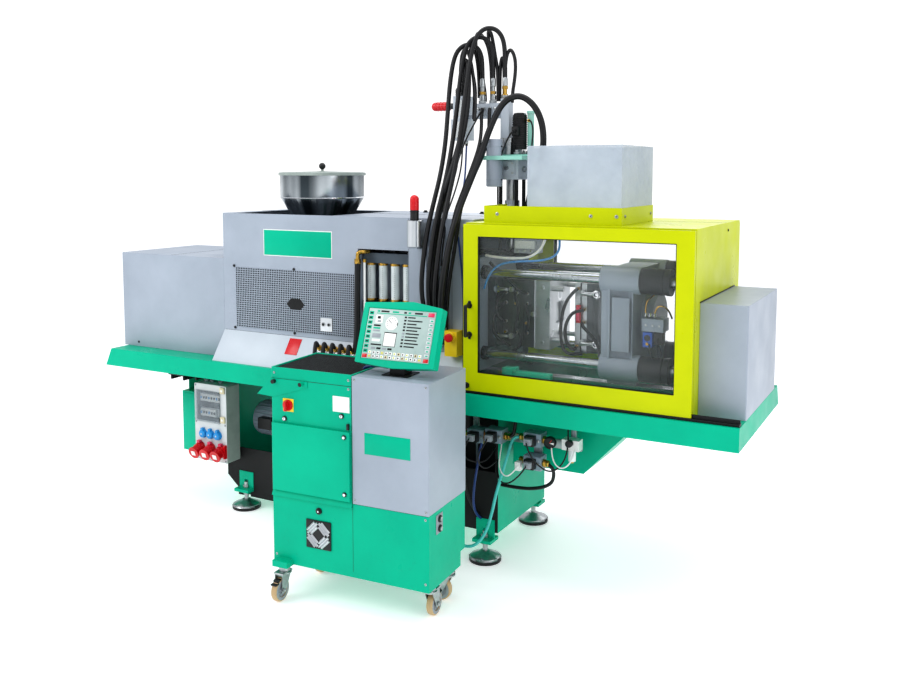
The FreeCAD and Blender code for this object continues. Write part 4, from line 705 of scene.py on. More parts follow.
blank = bmesh.new()
block(blank, -702, -264, -328.2, -327.05, 1402, 1540, 1)
block(blank, -698, -268, -329.0, -328.0, 1406, 1536)
finish_piece(blank, "blank_plate", [teal_coat, white_plastic], "machine", 0.4)

seams = bmesh.new()
for x in (184, 420):
    block(seams, x - 0.8, x + 0.8, -327.35, -327.0, 996, 1616)
block(seams, -976, 526, -327.35, -327.0, 989.2, 990.8)
finish_piece(seams, "panel_seams", [shadow_black], "machine", 0)
print("panel fittings set")

# %% [markdown]
# A row of cooling outlets comes through the apron: brass nuts, each with a black rubber elbow that turns
# down into the tray. Their pipes are short and stiff, fixed at both ends.

# %% Cooling outlets
OUTLET_X = (-322, -272, -222, -172, -122)
nuts = bmesh.new()
for x in OUTLET_X:
    bar(nuts, (x, -1, -52), (x, -15, -52), 16, sides=6)
    bar(nuts, (x, -14, -52), (x, -28, -52), 12.5)
    bar(nuts, (x, 0, -52), (x, -3, -52), 20, 1)
finish_piece(nuts, "outlet_nuts", [brass, zinc_steel], "machine", 0.8, APRON)
bed_back = BED.inverted()
elbows = []
for x in OUTLET_X:
    tip = bed_back @ (APRON @ Vector((x, -24, -52)))
    out = bed_back @ (APRON @ Vector((x, -48, -40)))
    elbows.append([tip, out, (x + 6, out.y - 16, out.z - 6), (x + 10, -428, 880), (x + 10, -428, 842)])
pipe("outlet_elbows", elbows, 21, rubber, "machine")
print(len(elbows), "outlets")

# %% [markdown]
# The flow regulator shows four sight tubes with a scale. Each stands in a pair of brass nuts, and a knob
# under it sets the flow. A hose comes up beside them into a brass elbow.

# %% Flow regulator fittings
regulator_nuts, scales, knobs = bmesh.new(), bmesh.new(), bmesh.new()
TUBE_X = [-103 + (k + 0.5) * 69.5 for k in range(4)]
for x in TUBE_X:
    for low, high in ((1200, 1212), (1378, 1390)):
        bar(regulator_nuts, (x, -267, low), (x, -267, high), 25, sides=24)
    bar(regulator_nuts, (x, -267, 1205), (x, -267, 1385), 5, 1)
    bar(regulator_nuts, (x, -267, 1268), (x, -267, 1282), 12, 2)
    for mark in range(15):
        wide = 7 if mark % 5 == 0 else 4
        block(scales, x + 9 - wide, x + 9, -287.6, -286.6, 1224 + mark * 10, 1225.6 + mark * 10)
    bar(knobs, (x, -293, 1175), (x, -316, 1175), 15, sides=10)
    bar(knobs, (x, -315, 1175), (x, -317.5, 1175), 9, 1)
finish_piece(regulator_nuts, "regulator_nuts", [brass, white_plastic, red_plastic], "machine", 1.0)
finish_piece(scales, "regulator_scales", [shadow_black], "machine", 0)
finish_piece(knobs, "regulator_knobs", [blue_plastic, white_plastic], "machine", 1.6)
pipe("regulator_pipes", [[(x, -267, 1150), (x, -267, 1110), (x - 4, -262, 1070), (x - 6, -240, 1030),
                          (x - 6, -190, 1012)] for x in TUBE_X]
     + [[(x, -262, 1438), (x, -262, 1447), (x, -240, 1452), (x, -200, 1452)] for x in TUBE_X],
     13, rubber, "machine")
pipe("regulator_feed", [[(-96, -348, 1394), (-96, -350, 1340), (-97, -352, 1220), (-98, -352, 1110),
                         (-98, -356, 1030), (-98, -372, 950)]], 30, rubber, "machine")
pipe("regulator_return", [[(-60, -340, 1400), (-60, -341, 1300), (-60, -341, 1180), (-60, -346, 1060)]],
     12, white_plastic, "machine")
feed = bmesh.new()
bar(feed, (-96, -348, 1388), (-96, -348, 1412), 17, sides=6)
bar(feed, (-60, -340, 1396), (-60, -340, 1412), 9, sides=6)
finish_piece(feed, "regulator_feed_nuts", [brass], "machine", 0.9)
pipe("regulator_feed_elbow", [[(-96, -348, 1410), (-96, -348, 1436), (-90, -344, 1444),
                               (-70, -330, 1446), (-60, -300, 1446)]], 20, brass, "machine")
print("regulator finished")

# %% [markdown]
# The beacon's red lens has moulded rings, the stop button's collar a ring of grip, and each hose ends in a
# crimped steel sleeve and a hexagon nut. Rings are turned: a short outline spun once round.

# %% Beacon, stop button and hose ends
sleeve = bmesh.new()
turned(sleeve, (261, -400, 1490), [(30, 0), (34.5, 1), (34.5, 120), (31, 122), (24, 122)], 0, 48)
finish_piece(sleeve, "beacon_sleeve", [anodised], "machine", 0)
rings = bmesh.new()
for z in (1668, 1680, 1692, 1704):
    turned(rings, (261, -400, z), [(20.6, -2.5), (22.2, 0), (20.6, 2.5)], 0, 40)
finish_piece(rings, "beacon_lens_rings", [red_plastic], "machine", 0)
bands = bmesh.new()
for z in (1618, 1654):
    turned(bands, (261, -400, z), [(19.5, -3), (21.6, -2), (21.6, 2), (19.5, 3)], 0, 40)
finish_piece(bands, "beacon_collar_rings", [black_plastic], "machine", 0)
collar = bmesh.new()
turned(collar, (446, -389, 1075), [(9, 0), (24, 0), (24, 4), (21, 7), (9, 7)], 0, 40,
       axis=(0, -1, 0))
finish_piece(collar, "stop_button_collar", [yellow_plastic], "machine", 0)
ends = bmesh.new()
for x in (300, 328, 356):
    bar(ends, (x, -356, 1060), (x, -356, 1072), 13.5, 1, sides=6)
    turned(ends, (x, -356, 1072), [(11.2, 0), (13, 2), (13, 28), (12, 32), (11.2, 33)], 0, 28)
bar(ends, (390, -356, 1060), (390, -356, 1076), 17.5, 1, sides=6)
turned(ends, (390, -356, 1076), [(15.2, 0), (17, 2), (17, 34), (15.2, 37)], 0, 28)
for x in (412, 470, 534):
    turned(ends, (x, 0, 2250), [(11.2, 0), (13, 2), (13, 36), (12, 40), (11.2, 41)], 0, 28)
turned(ends, (672, -44, 1456), [(15.2, 0), (17, 2), (17, 44), (15.2, 47)], 0, 28)
finish_piece(ends, "hose_end_sleeves", [zinc_steel, zinc_steel], "machine", 0.5)
print("beacon, button and hose ends finished")

# %% [markdown]
# The sliding guard has a black rubber lip at its closing edge and a stop bolt. All of these ride with the
# gate. The frame's window is lined by a thin black gasket.

# %% Gate fittings
gasket = bmesh.new()
for x0, x1, z0, z1 in ((607, 611, 933, 1551), (1497, 1501, 933, 1551),
                       (607, 1501, 933, 937), (607, 1501, 1547, 1551)):
    block(gasket, x0, x1, -429, -416, z0, z1)
finish_piece(gasket, "gate_gasket", [rubber], "gate", 0.8)
lip = bmesh.new()
block(lip, 530.5, 533.5, -430, -410, 862, 1592)
finish_piece(lip, "gate_closing_lip", [rubber], "gate", 1.0)
screws("gate_screws", [(567, -432, z, "front") for z in (1092, 1252)]
, "gate", black_plastic, 6)
stop = bmesh.new()
bar(stop, (554, -432, 872), (554, -437, 872), 15, sides=6)
bar(stop, (554, -436, 872), (554, -446, 872), 9, sides=24)
finish_piece(stop, "gate_stop_bolt", [black_plastic], "gate", 1.0)
hooks = bmesh.new()
for z in (1106, 1238):
    bar(hooks, (567, -432, z), (567, -436, z), 14)
finish_piece(hooks, "handle_roses", [black_plastic], "gate", 1.2)
seal = bmesh.new()
block(seal, 1573, 1575.5, -330, 330, 1304.5, 1309)
finish_piece(seal, "hood_edge_seals", [rubber], "machine", 0.7)
groove = bmesh.new()
block(groove, 541, 1765, -436.4, -435.9, 842, 844.5)
finish_piece(groove, "rail_groove", [shadow_black], "machine", 0)
print("gate fittings set")

# %% [markdown]
# A mould is a stack of plates: clamp plate, spacer, cavity plate. The gaps between them are what the eye
# reads, so each joint is drawn as a narrow dark line, with cap screws at the corners, swinging clamps with
# hexagon heads, water nipples and a red safety plug on the moving half.

# %% Mould details
def stack_lines(name, places, half, top, body):
    lines = bmesh.new()
    for x in places:
        low, high = AXIS_Z - top - 0.5, AXIS_Z + top - 1.0
        for side in (-1, 1):
            block(lines, x - 0.9, x + 0.9, *sorted((side * (half - 6), side * (half + 0.5))), low, high)
        block(lines, x - 0.9, x + 0.9, 6 - half, half - 6, low, low + 6)
        block(lines, x - 0.9, x + 0.9, 6 - half, half - 6, high - 6, high)
    finish_piece(lines, name, [shadow_black], body, 0)


stack_lines("fixed_mould_joints", (590, 640, 700), 135, 160, "machine")
stack_lines("moving_mould_joints", (985, 1045), 135, 160, "clamp_platen")

clamps = bmesh.new()
for z in (1058, 1286):
    bar(clamps, (1000, -135, z), (1000, -152, z), 15, 1)
    bar(clamps, (996, -150, z), (1050, -150, z), 9, 1)
    bar(clamps, (1068, -135, z), (1068, -160, z), 21, 0, sides=6)
    turned(clamps, (1068, -160, z), [(10, 0), (17, 0), (17, 5), (14, 8), (10, 8)], 0, 32,
           axis=(0, -1, 0))
finish_piece(clamps, "mould_clamps_moving", [chrome, zinc_steel], "clamp_platen", 1.2)
clamps = bmesh.new()
for z in (1060, 1284):
    bar(clamps, (575, -150, z), (575, -168, z), 19, 0, sides=6)
    bar(clamps, (575, -166, z), (628, -160, z), 9, 1)
    bar(clamps, (640, -135, z), (640, -152, z), 13, 1)
finish_piece(clamps, "mould_clamps_fixed", [chrome, zinc_steel], "machine", 1.2)
plug = bmesh.new()
block(plug, 968, 990, -151, -135, 1150, 1232)
block(plug, 971, 987, -158, -150, 1160, 1222, 1)
finish_piece(plug, "mould_plug", [red_plastic, pink_plastic], "clamp_platen", 2.0)
nipples = bmesh.new()
for x, z in ((1002, 1210), (974, 1306), (970, 1040), (1000, 1150)):
    bar(nipples, (x, -135, z), (x, -147, z), 8, 0, sides=6)
    bar(nipples, (x, -146, z), (x, -156, z), 6, 0)
finish_piece(nipples, "mould_nipples_moving", [brass], "clamp_platen", 0.6)
pipe("mould_hoses_moving", [
    [(1002, -150, 1210), (1002, -176, 1212), (960, -186, 1200), (925, -184, 1130), (935, -178, 1050),
     (972, -168, 1022), (970, -150, 1040)],
    [(974, -150, 1306), (968, -172, 1300), (925, -184, 1240), (905, -186, 1130), (915, -182, 1030),
     (950, -176, 1006), (985, -170, 1012), (1000, -150, 1008)],
    [(1000, -150, 1150), (1004, -176, 1146), (1050, -184, 1110), (1090, -182, 1060),
     (1102, -170, 1010)]], 15, rubber, "clamp_platen")

nipples = bmesh.new()
for x in (612, 668, 722):
    for z in (1080, 1130, 1220, 1268):
        bar(nipples, (x, -135, z), (x, -147, z), 8, 0, sides=6)
        bar(nipples, (x, -146, z), (x, -158, z), 6, 1)
finish_piece(nipples, "mould_nipples_fixed", [zinc_steel, brass], "machine", 0.6)
pipe("mould_hoses_fixed", [
    [(612, -155, 1268), (606, -182, 1262), (580, -190, 1220), (590, -188, 1160), (612, -180, 1134),
     (612, -155, 1130)],
    [(668, -155, 1268), (672, -184, 1262), (700, -190, 1210), (692, -190, 1140), (672, -182, 1088),
     (668, -155, 1080)],
    [(722, -155, 1220), (728, -180, 1216), (752, -186, 1170), (742, -184, 1110), (724, -176, 1084),
     (722, -155, 1080)],
    [(612, -155, 1220), (604, -180, 1214), (566, -192, 1150), (568, -190, 1080), (600, -180, 1040),
     (650, -170, 1016)],
    [(722, -155, 1268), (716, -190, 1276), (660, -206, 1330), (600, -208, 1372), (552, -196, 1412)],
    [(668, -155, 1130), (676, -178, 1122), (720, -190, 1062), (700, -188, 1010), (640, -170, 985)]],
     14, rubber, "machine")
springs = bmesh.new()
for y in (-120, 120):
    for z in (1040, 1304):
        bar(springs, (755, y * 0.99, z), (757, y * 1.1, z), 4, 0)
bar(springs, (748, -128, AXIS_Z), (748, -140, AXIS_Z), 13, 0, sides=6)
bar(springs, (795, -128, 1300), (795, -134, 1300), 9, 0)
bar(springs, (795, -128, 1040), (795, -134, 1040), 9, 0)
finish_piece(springs, "face_plate_bolts", [zinc_steel], "machine", 0.6)
cavity = bmesh.new()
for z in (1087, 1257):
    bar(cavity, (829.9, 0, z), (830.1, 0, z), 30, 0, sides=36)
    bar(cavity, (830, 0, z), (830.2, 0, z), 21, 1, sides=36)
finish_piece(cavity, "cavity_faces", [chrome, ground_steel], "machine", 0)
print("mould detailed")

# %% [markdown]
# The moving platen is a casting, so its ribs and pads are raised softly from the same iron. Behind it each
# tie bar runs through a black clamp cylinder, and a valve block with a blue solenoid sits between them.

# %% Platen, cylinders and valve block
ribs = bmesh.new()
block(ribs, 1150, 1163, -247, -232, 1010, 1334)
block(ribs, 1120, 1152, -241, -232, 1020, 1324)
block(ribs, 1168, 1250, -243, -232, 1052, 1292)
for z in (1002, 1342):
    block(ribs, 1122, 1262, -243, -232, z - 10, z + 10)
finish_piece(ribs, "platen_ribs", [cast_coat], "clamp_platen", 4.5)
casing = bmesh.new()
for y in (-200, 200):
    for z in (979, 1365):
        turned(casing, (1292, y, z), [(51, 1), (57, 1), (57, 100), (52, 104), (52, 108), (58, 112),
                                      (58, 131), (40, 131.5)], 0, 48, axis=(1, 0, 0),
               first=(0, 0, 1))
finish_piece(casing, "clamp_cylinder_sleeves", [black_coat], "clamp_platen", 0)
sleeves = bmesh.new()
for z in (979, 1365):
    for y in (-200, 200):
        turned(sleeves, (522, y, z), [(22.4, 0), (33, 0), (33, 22), (28, 26), (22.4, 26)], 0, 40,
               axis=(1, 0, 0), first=(0, 0, 1))
finish_piece(sleeves, "tie_bar_wipers", [rubber], "machine", 0)
valve = bmesh.new()
block(valve, 1293, 1390, -206, -120, 1146, 1202)
for x in (1312, 1342, 1372):
    bar(valve, (x, -206, 1174), (x, -209, 1174), 6, 1, sides=6)
    bar(valve, (x, -165, 1202), (x, -165, 1210), 9, 1, sides=6)
finish_piece(valve, "valve_block", [cast_coat, zinc_steel], "clamp_platen", 1.5)
coil = bmesh.new()
block(coil, 1298, 1340, -204, -150, 1076, 1142, 0)
bar(coil, (1319, -204, 1118), (1319, -208, 1118), 14, 1)
bar(coil, (1319, -204, 1092), (1319, -209, 1092), 8, 2, sides=6)
block(coil, 1346, 1384, -200, -150, 1090, 1144, 1)
finish_piece(coil, "solenoid_coils", [solenoid_blue, black_plastic, brass], "clamp_platen", 2.5)
tubes = bmesh.new()
for x in (1305, 1325, 1345):
    bar(tubes, (x, -188, 1210), (x, -188, 1226), 7, 0, sides=6)
finish_piece(tubes, "valve_unions", [chrome], "clamp_platen", 0.6)
pipe("valve_pipes", [
    [(1305, -188, 1222), (1305, -190, 1262), (1318, -186, 1290), (1334, -160, 1302)],
    [(1345, -188, 1222), (1352, -192, 1254), (1382, -190, 1262), (1404, -170, 1240),
     (1406, -130, 1200)]], 8, brass, "clamp_platen")
pipe("valve_cables", [
    [(1365, -200, 1116), (1366, -222, 1108), (1390, -226, 1060), (1376, -214, 1010), (1340, -190, 985)],
    [(1330, -206, 1090), (1334, -226, 1070), (1352, -226, 1030), (1350, -200, 1000)]],
     7, rubber, "clamp_platen")
print("platen detailed")

# %% [markdown]
# Above the fixed mould hangs a grey connector box with a blue air line and a pale water line that leave it
# in wide arcs. Below, a bright green catch beam runs along the front rail to guide the mouldings.

# %% Connector box, lines and catch beam
connector = bmesh.new()
block(connector, 676, 790, -196, -120, 1462, 1528)
block(connector, 684, 782, -202, -195, 1484, 1520, 1)
for x in (700, 733, 766):
    bar(connector, (x, -196, 1474), (x, -204, 1474), 7, 2, sides=6)
block(connector, 722, 744, -160, -140, 1526, 1606)
finish_piece(connector, "connector_box", [grey_plastic, pale_plastic, zinc_steel], "machine", 2.0)
pipe("water_line", [[(540, -214, 1446), (600, -222, 1440), (690, -232, 1438), (770, -236, 1446),
                     (822, -232, 1480), (844, -220, 1530), (850, -206, 1580)]],
     12, white_plastic, "machine")
pipe("air_line", [[(540, -232, 1290), (560, -240, 1350), (620, -246, 1412), (720, -250, 1430),
                   (840, -250, 1436), (910, -244, 1462), (926, -236, 1520), (905, -226, 1588)]],
     10, blue_nylon, "machine")
beam = bmesh.new()
block(beam, 700, 913, -318, -282, 900, 934)
block(beam, 679, 730, -326, -276, 896, 946)
block(beam, 725, 745, -324, -278, 932, 950)
finish_piece(beam, "catch_beam", [teal_coat], "machine", 3.0)
pan = bmesh.new()
block(pan, 545, 1560, -400, -190, 837, 846)
finish_piece(pan, "bed_front_pan", [teal_coat], "machine", 2.0)
print("clamp unit finished")

# %% [markdown]
# The control cart stands a little askew, so its fittings are built square in the cart's own frame and one
# matrix turns them into place. Its top is a shallow bin with a ribbed rubber mat, and the front carries the
# main switch on a yellow plate, locks, a blank name plate and the fan's grille.

# %% Cart frame and fittings
CART = BED @ Matrix.Translation((-70.5, -1045.6, 0)) @ Matrix.Rotation(math.radians(3.2114), 4, "Z")

mat = bmesh.new()
block(mat, 10, 391, 10, 339, 1000.2, 1003)
for k in range(40):
    y = 14 + k * 8.2
    block(mat, 12, 389, y, y + 4, 1002.5, 1004.6)
finish_piece(mat, "bin_mat", [rubber_mat], "machine", 0.4, CART)

lines = bmesh.new()
block(lines, 1, 401, -0.35, 0.0, 959, 961)
block(lines, -0.35, 0.0, 4, 345, 959, 961)
block(lines, 1, 755, -0.35, 0.0, 466.4, 468)
block(lines, 401.2, 402.2, -2.5, -1.9, 470, 1000)
block(lines, 401, 402.4, -0.35, 0.0, 175, 466)
finish_piece(lines, "cart_seams", [shadow_black], "machine", 0, CART)

plates = bmesh.new()
block(plates, 60, 114, -1.4, -0.02, 822, 878)
finish_piece(plates, "switch_plate", [yellow_plastic], "machine", 0.5, CART)
plates = bmesh.new()
block(plates, 310, 391, -1.2, -0.02, 848, 914)
finish_piece(plates, "blank_name_plate", [white_plastic], "machine", 0.5, CART)
plates = bmesh.new()
block(plates, 462, 674, -3.1, -2.02, 687, 776)
finish_piece(plates, "cabinet_blank_field", [teal_coat], "machine", 0.5, CART)

locks = bmesh.new()
for u, z in ((68, 790), (353, 832)):
    bar(locks, (u, 0, z), (u, -5, z), 11, 0)
    bar(locks, (u, -4.5, z), (u, -8, z), 7.5, 1)
    block(locks, u - 1.2, u + 1.2, -8.6, -7.8, z - 5, z + 5, 2)
bar(locks, (236, 0, 410), (236, -6, 410), 14, 0)
bar(locks, (236, -5.5, 410), (236, -10, 410), 9.5, 0)
bar(locks, (236, -9.8, 410), (236, -11, 410), 4.0, 1)
block(locks, 380, 390, -10, 0, 778, 803, 0)
finish_piece(locks, "cart_locks", [black_plastic, chrome, shadow_black], "machine", 0.8, CART)
fold = bmesh.new()
corners = [fold.verts.new(corner) for corner in (
    (2, -0.1, 474), (400, -0.1, 474), (400, -12, 450), (2, -12, 450), (400, -0.1, 450), (2, -0.1, 450))]
for loop in ((0, 3, 2, 1), (3, 5, 4, 2), (0, 1, 4, 5), (1, 2, 4), (0, 5, 3)):
    fold.faces.new([corners[k] for k in loop])
finish_piece(fold, "base_fold", [teal_coat], "machine", 0.5, CART)
latch = bmesh.new()
bar(latch, (372, -13.8, 748), (372, -18, 748), 10, 0)
bar(latch, (372, -17.5, 748), (372, -21, 748), 6.5, 1)
bar(latch, (372, -13.8, 506), (372, -18, 506), 10, 0)
bar(latch, (372, -17.5, 506), (372, -21, 506), 6.5, 1)
finish_piece(latch, "door_latches", [black_plastic, chrome], "door", 0.8, CART)
screws("cart_screws", [(u, 0, z, "front") for u in (16, 386) for z in (948, 985)]
       + [(u, 0, z, "front") for u in (16, 740) for z in (186, 452)]
       + [(u, -2, z, "front") for u in (414, 744) for z in (484, 990)], "machine", zinc_steel, 4, CART)
print("cart fittings set")

# %% [markdown]
# The fan hides behind a moulded square with slanting slats, three to a corner, that make nested diamonds.
# One corner's slats are built and a mirror repeats them across and down.

# %% Fan grille
fan = bmesh.new()
block(fan, -62, 62, -6, -0.1, -62, 62)
finish_piece(fan, "fan_frame", [black_plastic], "machine", 5.0, CART @ Matrix.Translation((234, 0, 307)))
slats = bmesh.new()
for reach in (38, 54, 70):
    inner, outer = max(3, reach - 54), min(54, reach - 3)
    bar(slats, (inner, -7, reach - inner), (outer, -7, reach - outer), 6.4, 0, sides=4)
for axis in ("X", "Z"):
    whole = slats.verts[:] + slats.edges[:] + slats.faces[:]
    bmesh.ops.mirror(slats, geom=whole, axis=axis, merge_dist=-1)
finish_piece(slats, "fan_slats", [anodised], "machine", 0.5,
             CART @ Matrix.Translation((234, 0, 307)))
print("fan grille made")

# %% [markdown]
# Behind and beside the cart are the things that only someone walking round it sees: louvres in the rear
# part, a socket panel low on the right side, and cable glands. Louvres are one pressed slot repeated.

# %% Cart sides and back
louvres = bmesh.new()
for k in range(9):
    z = 560 + k * 26
    for u in (130, 290, 560):
        block(louvres, u - 50, u + 50, 349, 353, z, z + 11)
        block(louvres, u - 46, u + 46, 352.6, 353.6, z - 2.4, z + 1, 1)
finish_piece(louvres, "cart_louvres", [teal_coat, shadow_black], "machine", 1.5, CART)
panel = bmesh.new()
block(panel, 756.2, 759, 60, 120, 372, 452, 0)
for z in (392, 432):
    bar(panel, (759, 90, z), (765, 90, z), 15, 1)
    bar(panel, (765, 90, z), (770, 90, z), 9, 2)
block(panel, 120, 520, 349, 352, 250, 440, 0)
for u in (170, 240, 310, 380, 450):
    bar(panel, (u, 352, 290), (u, 366, 290), 12, 2, sides=6)
    bar(panel, (u, 365, 290), (u, 380, 290), 8.5, 1)
finish_piece(panel, "cart_socket_panel", [grey_plastic, black_plastic, zinc_steel], "machine", 1.2, CART)
screws("cart_back_screws", [(u, 349, z, "back") for u in (20, 381, 420, 736) for z in (490, 985)],
       "machine", zinc_steel, 4, CART)
print("cart back and sides finished")

# %% [markdown]
# Castors have a cap nut on each axle, a dust cap on the swivel and a sprung brake pedal over the wheel. The
# pedal rides with the fork, so it swings round with it.

# %% Castor fittings
CASTORS = {"front_left": (58, -4, 180), "front_right": (712.2, 96, 0), "back_left": (58, 250, 0),
           "back_right": (712.2, 270, 90)}
for corner, (u, v, turn) in CASTORS.items():
    spot = CART @ Matrix.Translation((u, v, 0)) @ Matrix.Rotation(math.radians(turn), 4, "Z")
    bits = bmesh.new()
    for side in (-1, 1):
        bar(bits, (side * 20.5, 36, 50), (side * 26.5, 36, 50), 9.5, 0, sides=6)
        bar(bits, (side * 26, 36, 50), (side * 29, 36, 50), 5.5, 0)
    bar(bits, (0, 0, 112), (0, 0, 119), 30, 0, sides=32)
    block(bits, -15, 15, 62, 84, 82, 88, 1)
    block(bits, -13, 13, 44, 66, 86, 101, 1)
    finish_piece(bits, "castor_fittings_" + corner, [zinc_steel, black_plastic], "fork_" + corner, 1.0,
                 spot)
    ring = bmesh.new()
    for side in (-1, 1):
        turned(ring, (side * 8.5, 36, 50), [(6, 0), (13, 0), (13, 3), (6, 3)], 0, 28,
               axis=(side, 0, 0), first=(0, 0, 1))
        for k in range(6):
            angle = k * math.tau / 6
            middle = Vector((side * 9.6, 36 + 22 * math.cos(angle), 50 + 22 * math.sin(angle)))
            bar(ring, middle, middle + Vector((side * 1.6, 0, 0)), 4.5, 0, sides=12)
    finish_piece(ring, "wheel_bosses_" + corner, [grey_plastic], "wheel_" + corner, 0, spot)
print("castors finished")

# %% [markdown]
# The operator's screen is a membrane front: a pale sheet over a display, with coloured key fields. It is
# drawn as plain shapes only: a dial, a white square, rows of bars for lists, columns of keys and two red
# keys at the bottom corners. Nothing on it is lettering.

# %% Operator screen
SCREEN = (CART @ Matrix.Translation((564.85, 96, 1062)) @ Matrix.Rotation(math.radians(-21), 4, "X")
          @ Matrix.Translation((0, -34, 0)))
sheet_grey = moulded("polyester_membrane_pale", "#A3B7B2", "#B0C3BE", 0.3, 1.5, 0.05)
membrane = bmesh.new()
block(membrane, -156, 156, 1.6, 2.9, -3, 209)
finish_piece(membrane, "screen_membrane", [sheet_grey], "screen", 0.3, SCREEN)

keys = bmesh.new()
for k in range(9):
    block(keys, -152, -132, 0.9, 1.7, 22 + k * 20, 36 + k * 20, 0)
    block(keys, 132, 152, 0.9, 1.7, 22 + k * 18, 34 + k * 18, 2)
for row in range(2):
    for k in range(13):
        tone = 1 if (k + row) % 4 else 3
        block(keys, -126 + k * 19.4, -112 + k * 19.4, 0.9, 1.7, 2 + row * 16, 14 + row * 16, tone)
        block(keys, -123 + k * 19.4, -117 + k * 19.4, 0.5, 1.0, 5 + row * 16, 11 + row * 16,
              4 if k % 3 else 5)
for k in range(9):
    block(keys, -148, -136, 0.5, 1.0, 26 + k * 20, 32 + k * 20, 4)
    block(keys, 137, 148, 0.5, 1.0, 25 + k * 18, 30 + k * 18, 0)
finish_piece(keys, "screen_keys", [teal_coat, white_plastic, pale_plastic, beige_plastic, shadow_black,
                                   lime_coat], "screen", 0.25, SCREEN)

red_keys = bmesh.new()
block(red_keys, -153, -131, 0.7, 1.7, 0, 15)
block(red_keys, 131, 153, 0.7, 1.7, 0, 15)
block(red_keys, 122, 150, 0.7, 1.7, 188, 204, 1)
finish_piece(red_keys, "screen_red_keys", [red_plastic, pink_plastic], "screen", 0.3, SCREEN)

shown = bmesh.new()
block(shown, -118, 118, 1.1, 1.7, 188, 191, 0)
for k, (x0, x1) in enumerate(((-116, -104), (-98, -60), (-44, -14), (10, 22), (30, 42), (60, 96))):
    block(shown, x0, x1, 1.0, 1.7, 195, 202, 1 if k % 2 else 0)
block(shown, -118, -84, 1.1, 1.7, 148, 182, 2)
block(shown, -110, -96, 0.8, 1.2, 166, 177, 1)
block(shown, -108, -92, 0.8, 1.2, 152, 160, 3)
for k in range(3):
    block(shown, -122, -90, 1.1, 1.7, 112 + k * 11, 119 + k * 11, (3, 0, 1)[k])
block(shown, -122, -82, 1.1, 1.7, 86, 104, 3)
block(shown, -120, -82, 1.1, 1.7, 70, 80, 2)
block(shown, -122, -72, 1.1, 1.7, 54, 60, 1)
for k in range(4):
    block(shown, -118 + k * 26, -98 + k * 26, 1.1, 1.7, 38, 46, 1 if k % 2 else 3)
block(shown, -66, -8, 1.0, 1.7, 52, 112, 1)
block(shown, -64, -10, 0.7, 1.1, 54, 108, 2)
for k in range(10):
    block(shown, 16, 26, 1.0, 1.7, 176 - k * 13.5, 183 - k * 13.5, 1 if k not in (5, 6) else 3)
    block(shown, 32, 66 + 34 * abs(math.sin(k * 1.7)), 1.0, 1.7, 177 - k * 13.5, 182 - k * 13.5, 1)
finish_piece(shown, "screen_fields", [teal_coat, shadow_black, white_plastic, grey_plastic], "screen",
             0.2, SCREEN)

dial = bmesh.new()
middle = (-40, 1.7, 150)
turned(dial, middle, [(0.01, 0), (27, 0), (27, 0.8), (0.01, 0.8)], 0, 40, axis=(0, -1, 0))
turned(dial, middle, [(26.5, 0), (29, 0), (29, 1.1), (26.5, 1.1)], 1, 40, axis=(0, -1, 0))
for k in range(11):
    angle = math.radians(-30 + k * 24)
    spot = Vector(middle) + Vector((math.cos(angle) * 21, -0.8, math.sin(angle) * 21))
    bar(dial, spot, spot + Vector((0, -0.4, 0)), 1.5, 1, sides=8)
bar(dial, (-40, 0.9, 150), (-54, 0.4, 163), 0.9, 1, sides=6)
finish_piece(dial, "screen_dial", [white_plastic, shadow_black], "screen", 0, SCREEN)

back_plate = bmesh.new()
for k in range(7):
    block(back_plate, -120, 120, 45.8, 48.6, 90 + k * 14, 95 + k * 14)
block(back_plate, -60, 60, 45.8, 50, 40, 70)
finish_piece(back_plate, "screen_back_ribs", [black_plastic], "screen", 1.0, SCREEN)
to_cart = BED.inverted() @ CART
pipe("screen_lead", [[to_cart @ Vector(p) for p in (
    (372, 150, 1003), (378, 150, 1012), (400, 148, 1018), (440, 140, 1024), (484, 134, 1030),
    (516, 132, 1036), (532, 128, 1044))]], 13, navy_nylon, "machine")
print("screen finished")

# %% [markdown]
# Under the tray hangs the distribution box. Behind its smoked window are two rows of breakers, on its edge
# two latches, and below them the sockets: blue ones with a hinged cap and red ones that lean out.

# %% Distribution box
breakers = bmesh.new()
for row, z in enumerate((510, 592)):
    block(breakers, -1120, -968, -371, -369.5, z - 4, z + 44, 3)
    for k in range(8 if row else 6):
        x = -1116 + k * 18.5
        block(breakers, x, x + 16.5, -384, -370, z, z + 40, 0)
        block(breakers, x + 4.5, x + 12, -390, -383, z + 14, z + 27, 1 if k % 3 else 2)
finish_piece(breakers, "breaker_rows", [white_plastic, black_plastic, blue_plastic, zinc_steel],
             "machine", 0.7)
latches = bmesh.new()
for z in (508, 668):
    block(latches, -955, -925, -409, -399.8, z - 17, z + 17, 0)
    bar(latches, (-940, -408, z), (-940, -412, z), 7, 1)
finish_piece(latches, "box_latches", [beige_plastic, white_plastic], "machine", 2.0)
caps = bmesh.new()
for x in (-1081, -1029, -977):
    block(caps, x - 7, x + 7, -419, -400, 438, 450)
    turned(caps, (x, -417, 418), [(0.01, 0), (17, 0), (17, 2), (13, 3.4), (0.01, 3.4)], 0, 32,
           axis=(0, -1, 0))
    bar(caps, (x, -420, 418), (x, -422.5, 418), 4, 1)
finish_piece(caps, "blue_socket_caps", [blue_plastic, pale_plastic], "machine", 0)
LEAN_ANGLE = math.radians(20)
LEAN = Vector((0, -math.cos(LEAN_ANGLE), -math.sin(LEAN_ANGLE)))
reds = bmesh.new()
